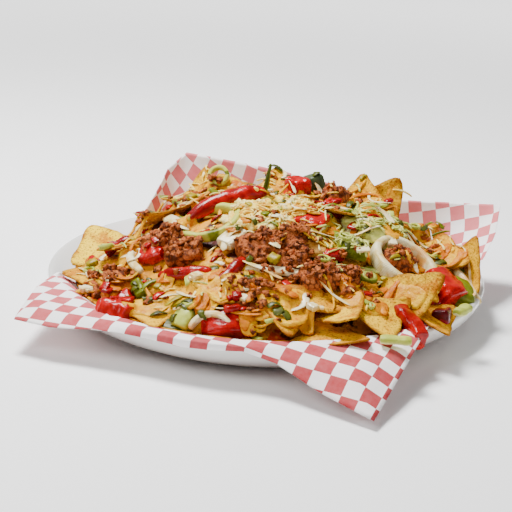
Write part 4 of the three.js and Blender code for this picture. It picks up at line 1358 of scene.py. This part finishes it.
def melted_cheese(below):
    """Melted cheese and orange sauce over the bed and the chips, under the small toppings."""
    rng = np.random.default_rng(5)
    melted, sauce = Heap(), Heap()
    tree = tree_of(*below)
    for k, (x, y, size) in enumerate(MELTS):
        skin = melt_patch(tree, x, y, size * 0.92, rng.uniform(0.9, 1.7), 300 + k)
        melted.add(*skin, rng.uniform())
    patches(melted, tree, rng, 46, (5, 11), (0.8, 1.6), spare(5, 0))
    strings(melted, tree, rng, 120, (14, 40), (10, 120), (1.6, 3.4), (1.2, 2.2), FREE)
    tree = tree_of(melted, *below)
    for k, corners in enumerate(SAUCES):
        skin = draped(tree, along(corners), rng.uniform(5, 9), rng.uniform(1.4, 2.0), 40 + k)
        sauce.add(*skin, rng.uniform())
        x, y = corners[len(corners) // 2]
        skin = melt_patch(tree, x, y, rng.uniform(4, 8), 1.6, 500 + k)
        sauce.add(*skin, rng.uniform())
    patches(sauce, tree, rng, 40, (3, 7), (0.8, 1.6), FREE)
    strings(sauce, tree, rng, 22, (16, 44), (0, 80), (2.4, 5.4), (1.1, 1.6), FREE)
    dress(melted.piece("melted_cheese"), "melted", "cheese")
    dress(sauce.piece("orange_sauce"), "sauce", "cheese")
    return melted, sauce


# Where small things lie: anywhere free, by the meat, by the cabbage, in the pocket at the back
# left and on the cheese in the middle
FREE = spare()
BEEF = near("meat", spread=9)
SLAW = near("cabbage_mass", "green_pepper_1", spread=13)
POCKET, CREST = about(-53, 31, 6, 4), about(3, -36, 17, 13)
# The small toppings: piece, material and slot, and for each layer how many bodies of which sort,
# how high they lie and where
SCATTERED = [
    ("meat_crumbs", "meat", "meat", [
        (430, "crumb", 0.5, BEEF), (60, "crumb", 1.5, POCKET), (110, "crumb", 0.5, FREE)]),
    ("cheese_shreds", "cream_cheese", "cheese", [
        (240, "shred", 0.6, FREE), (84, "shred", 0.6, CREST), (44, "curd", 0.2, CREST)]),
    ("red_bits", "red", "red_pepper", [
        (34, "dice", 1.0, by_listed(RED_BITS)), (18, "dice", 0.8, FREE), (26, "slip", 0.8, FREE)]),
    ("green_bits", "green", "green", [(12, "dice", 0.8, FREE), (30, "slip", 0.6, FREE)]),
    ("olive_bits", "olive", "green", [(18, "dice", 0.8, FREE), (26, "slip", 0.8, FREE)]),
    ("pale_bits", "onion", "onion", [
        (24, "dice", 0.6, by_listed(PALE_DICE)), (26, "slip", 0.5, FREE)]),
    ("onion_rounds", "pale_green", "green_onion", [
        (26, "ringlet", 0.8, FREE), (26, "dice", 0.4, FREE)]),
    ("cabbage_shreds", "slaw", "cabbage", [(170, "shred", 0.8, SLAW), (40, "shred", 0.8, FREE)]),
    ("leaf_bits", "dark_green", "green", [
        (54, "sprig", 1.0, by_listed(LEAVES)), (50, "sprig", 1.0, FREE)]),
]


def small_toppings(below):
    """Crumbs, shreds, dice, rings and leaves, each kind in a piece, and onion strands on them."""
    rng = np.random.default_rng(11)
    tree = tree_of(*below)
    laid = []
    for name, paint, slot, layers in SCATTERED:
        heap = Heap()
        for layer in layers:
            strew(heap, tree, rng, *layer)
        dress(heap.piece(name, smooth=name != "pale_bits"), paint, slot)
        laid.append(heap)
    strands = Heap()
    tree = tree_of(*below, *laid)
    for k, (corners, width) in enumerate(STRANDS):
        strands.add(*draped(tree, along(corners), width * 0.8, 0.9, 80 + k), rng.uniform())
    strings(strands, tree, rng, 30, (16, 36), (20, 170), (1.6, 3.4), (0.7, 1.0), FREE)
    dress(strands.piece("onion_strands"), "onion", "onion")


# Room: floor, light and camera. Each light has its place in metres, its size and its power
LIGHTS = [
    ("top_light", (-0.32, 0.33, 1.05), 0.36, 33),
    ("window_light", (-0.7, -0.7, 1.0), 0.5, 7),
    ("fill_light", (1.1, -0.7, 0.7), 1.0, 3),
]
LIGHT_AIM = (0, 0, 0.04)


def room():
    """A pale floor that glows more farther out, so that it looks even, and three soft lights."""
    bpy.ops.mesh.primitive_plane_add(size=16.0)
    floor = bpy.context.object
    floor.name = "pale_floor"
    paint = Paint("pale_floor", roughness=0.8, Emission_Strength=1.7)
    distance = paint.node("ShaderNodeVectorMath", {"operation": "LENGTH"}, Vector=paint.here)
    far_off = paint.between(distance.outputs["Value"], 0.35, 2.0)
    glow = paint.mix(far_off, (0, 0, 0), (255, 255, 255))
    paint.feed(paint.shader.inputs["Emission Color"], glow)
    floor.data.materials.append(paint.finish((255, 255, 255)))
    world = bpy.data.worlds.new("soft_studio")
    world.use_nodes = True
    back = world.node_tree.nodes["Background"]
    back.inputs["Color"].default_value = (1.0, 0.995, 0.99, 1.0)
    back.inputs["Strength"].default_value = 0.27
    bpy.context.scene.world = world
    for name, at, size, power in LIGHTS:
        light = bpy.data.lights.new(name, "AREA")
        light.energy = power
        light.size = size
        lamp = bpy.data.objects.new(name, light)
        lamp.location = at
        aim = Vector(LIGHT_AIM) - Vector(at)
        lamp.rotation_euler = aim.to_track_quat("-Z", "Y").to_euler()
        bpy.context.scene.collection.objects.link(lamp)


# The camera, from the ellipse of the plate's rim in the photograph's 512 by 512 frame
CAMERA_ELEVATION = math.radians(18.5)
CAMERA_ROLL = math.radians(2.2)
CAMERA_DISTANCE = 1.0
FOCAL_PIXELS = 1308.0
RIM_CENTRE_PIXEL = (266.5, 266.6)
RIM_PLANE = 0.027
IMAGE = 512
SENSOR = 36


def camera():
    """It looks along +Y and down at the rim's centre, rolled a little, and shifted to frame it."""
    target = Vector(PLATE_AT) + Vector((0, 0, RIM_PLANE))
    away = Vector((0, -math.cos(CAMERA_ELEVATION), math.sin(CAMERA_ELEVATION)))
    data = bpy.data.cameras.new("camera")
    data.sensor_width = SENSOR
    data.lens = SENSOR * FOCAL_PIXELS / IMAGE
    data.shift_x = (IMAGE / 2 - RIM_CENTRE_PIXEL[0]) / IMAGE
    data.shift_y = (RIM_CENTRE_PIXEL[1] - IMAGE / 2) / IMAGE
    view = bpy.data.objects.new("camera", data)
    view.location = target + away * CAMERA_DISTANCE
    look = (-away).to_track_quat("-Z", "Y").to_matrix()
    c, s = math.cos(CAMERA_ROLL), math.sin(CAMERA_ROLL)
    right, up = look.col[0] * c + look.col[1] * s, look.col[1] * c - look.col[0] * s
    look.col[0], look.col[1] = right, up
    view.rotation_euler = look.to_euler()
    bpy.context.scene.collection.objects.link(view)
    bpy.context.scene.camera = view


room()
camera()
dress(plate_piece(), "glaze", "glaze", "plate")
liner, liner_area = paper_piece()
dress(liner, "paper", "paper", "paper_liner")

below = [bed_heap(), chips_heap()]
dress(below[0].piece("cheesy_bed"), "bed", "chips", "chip_heap")
dress(below[1].piece("tortilla_chips"), "chips", "chips")
below.append(topping_pieces())
below += melted_cheese(below)
small_toppings(below)
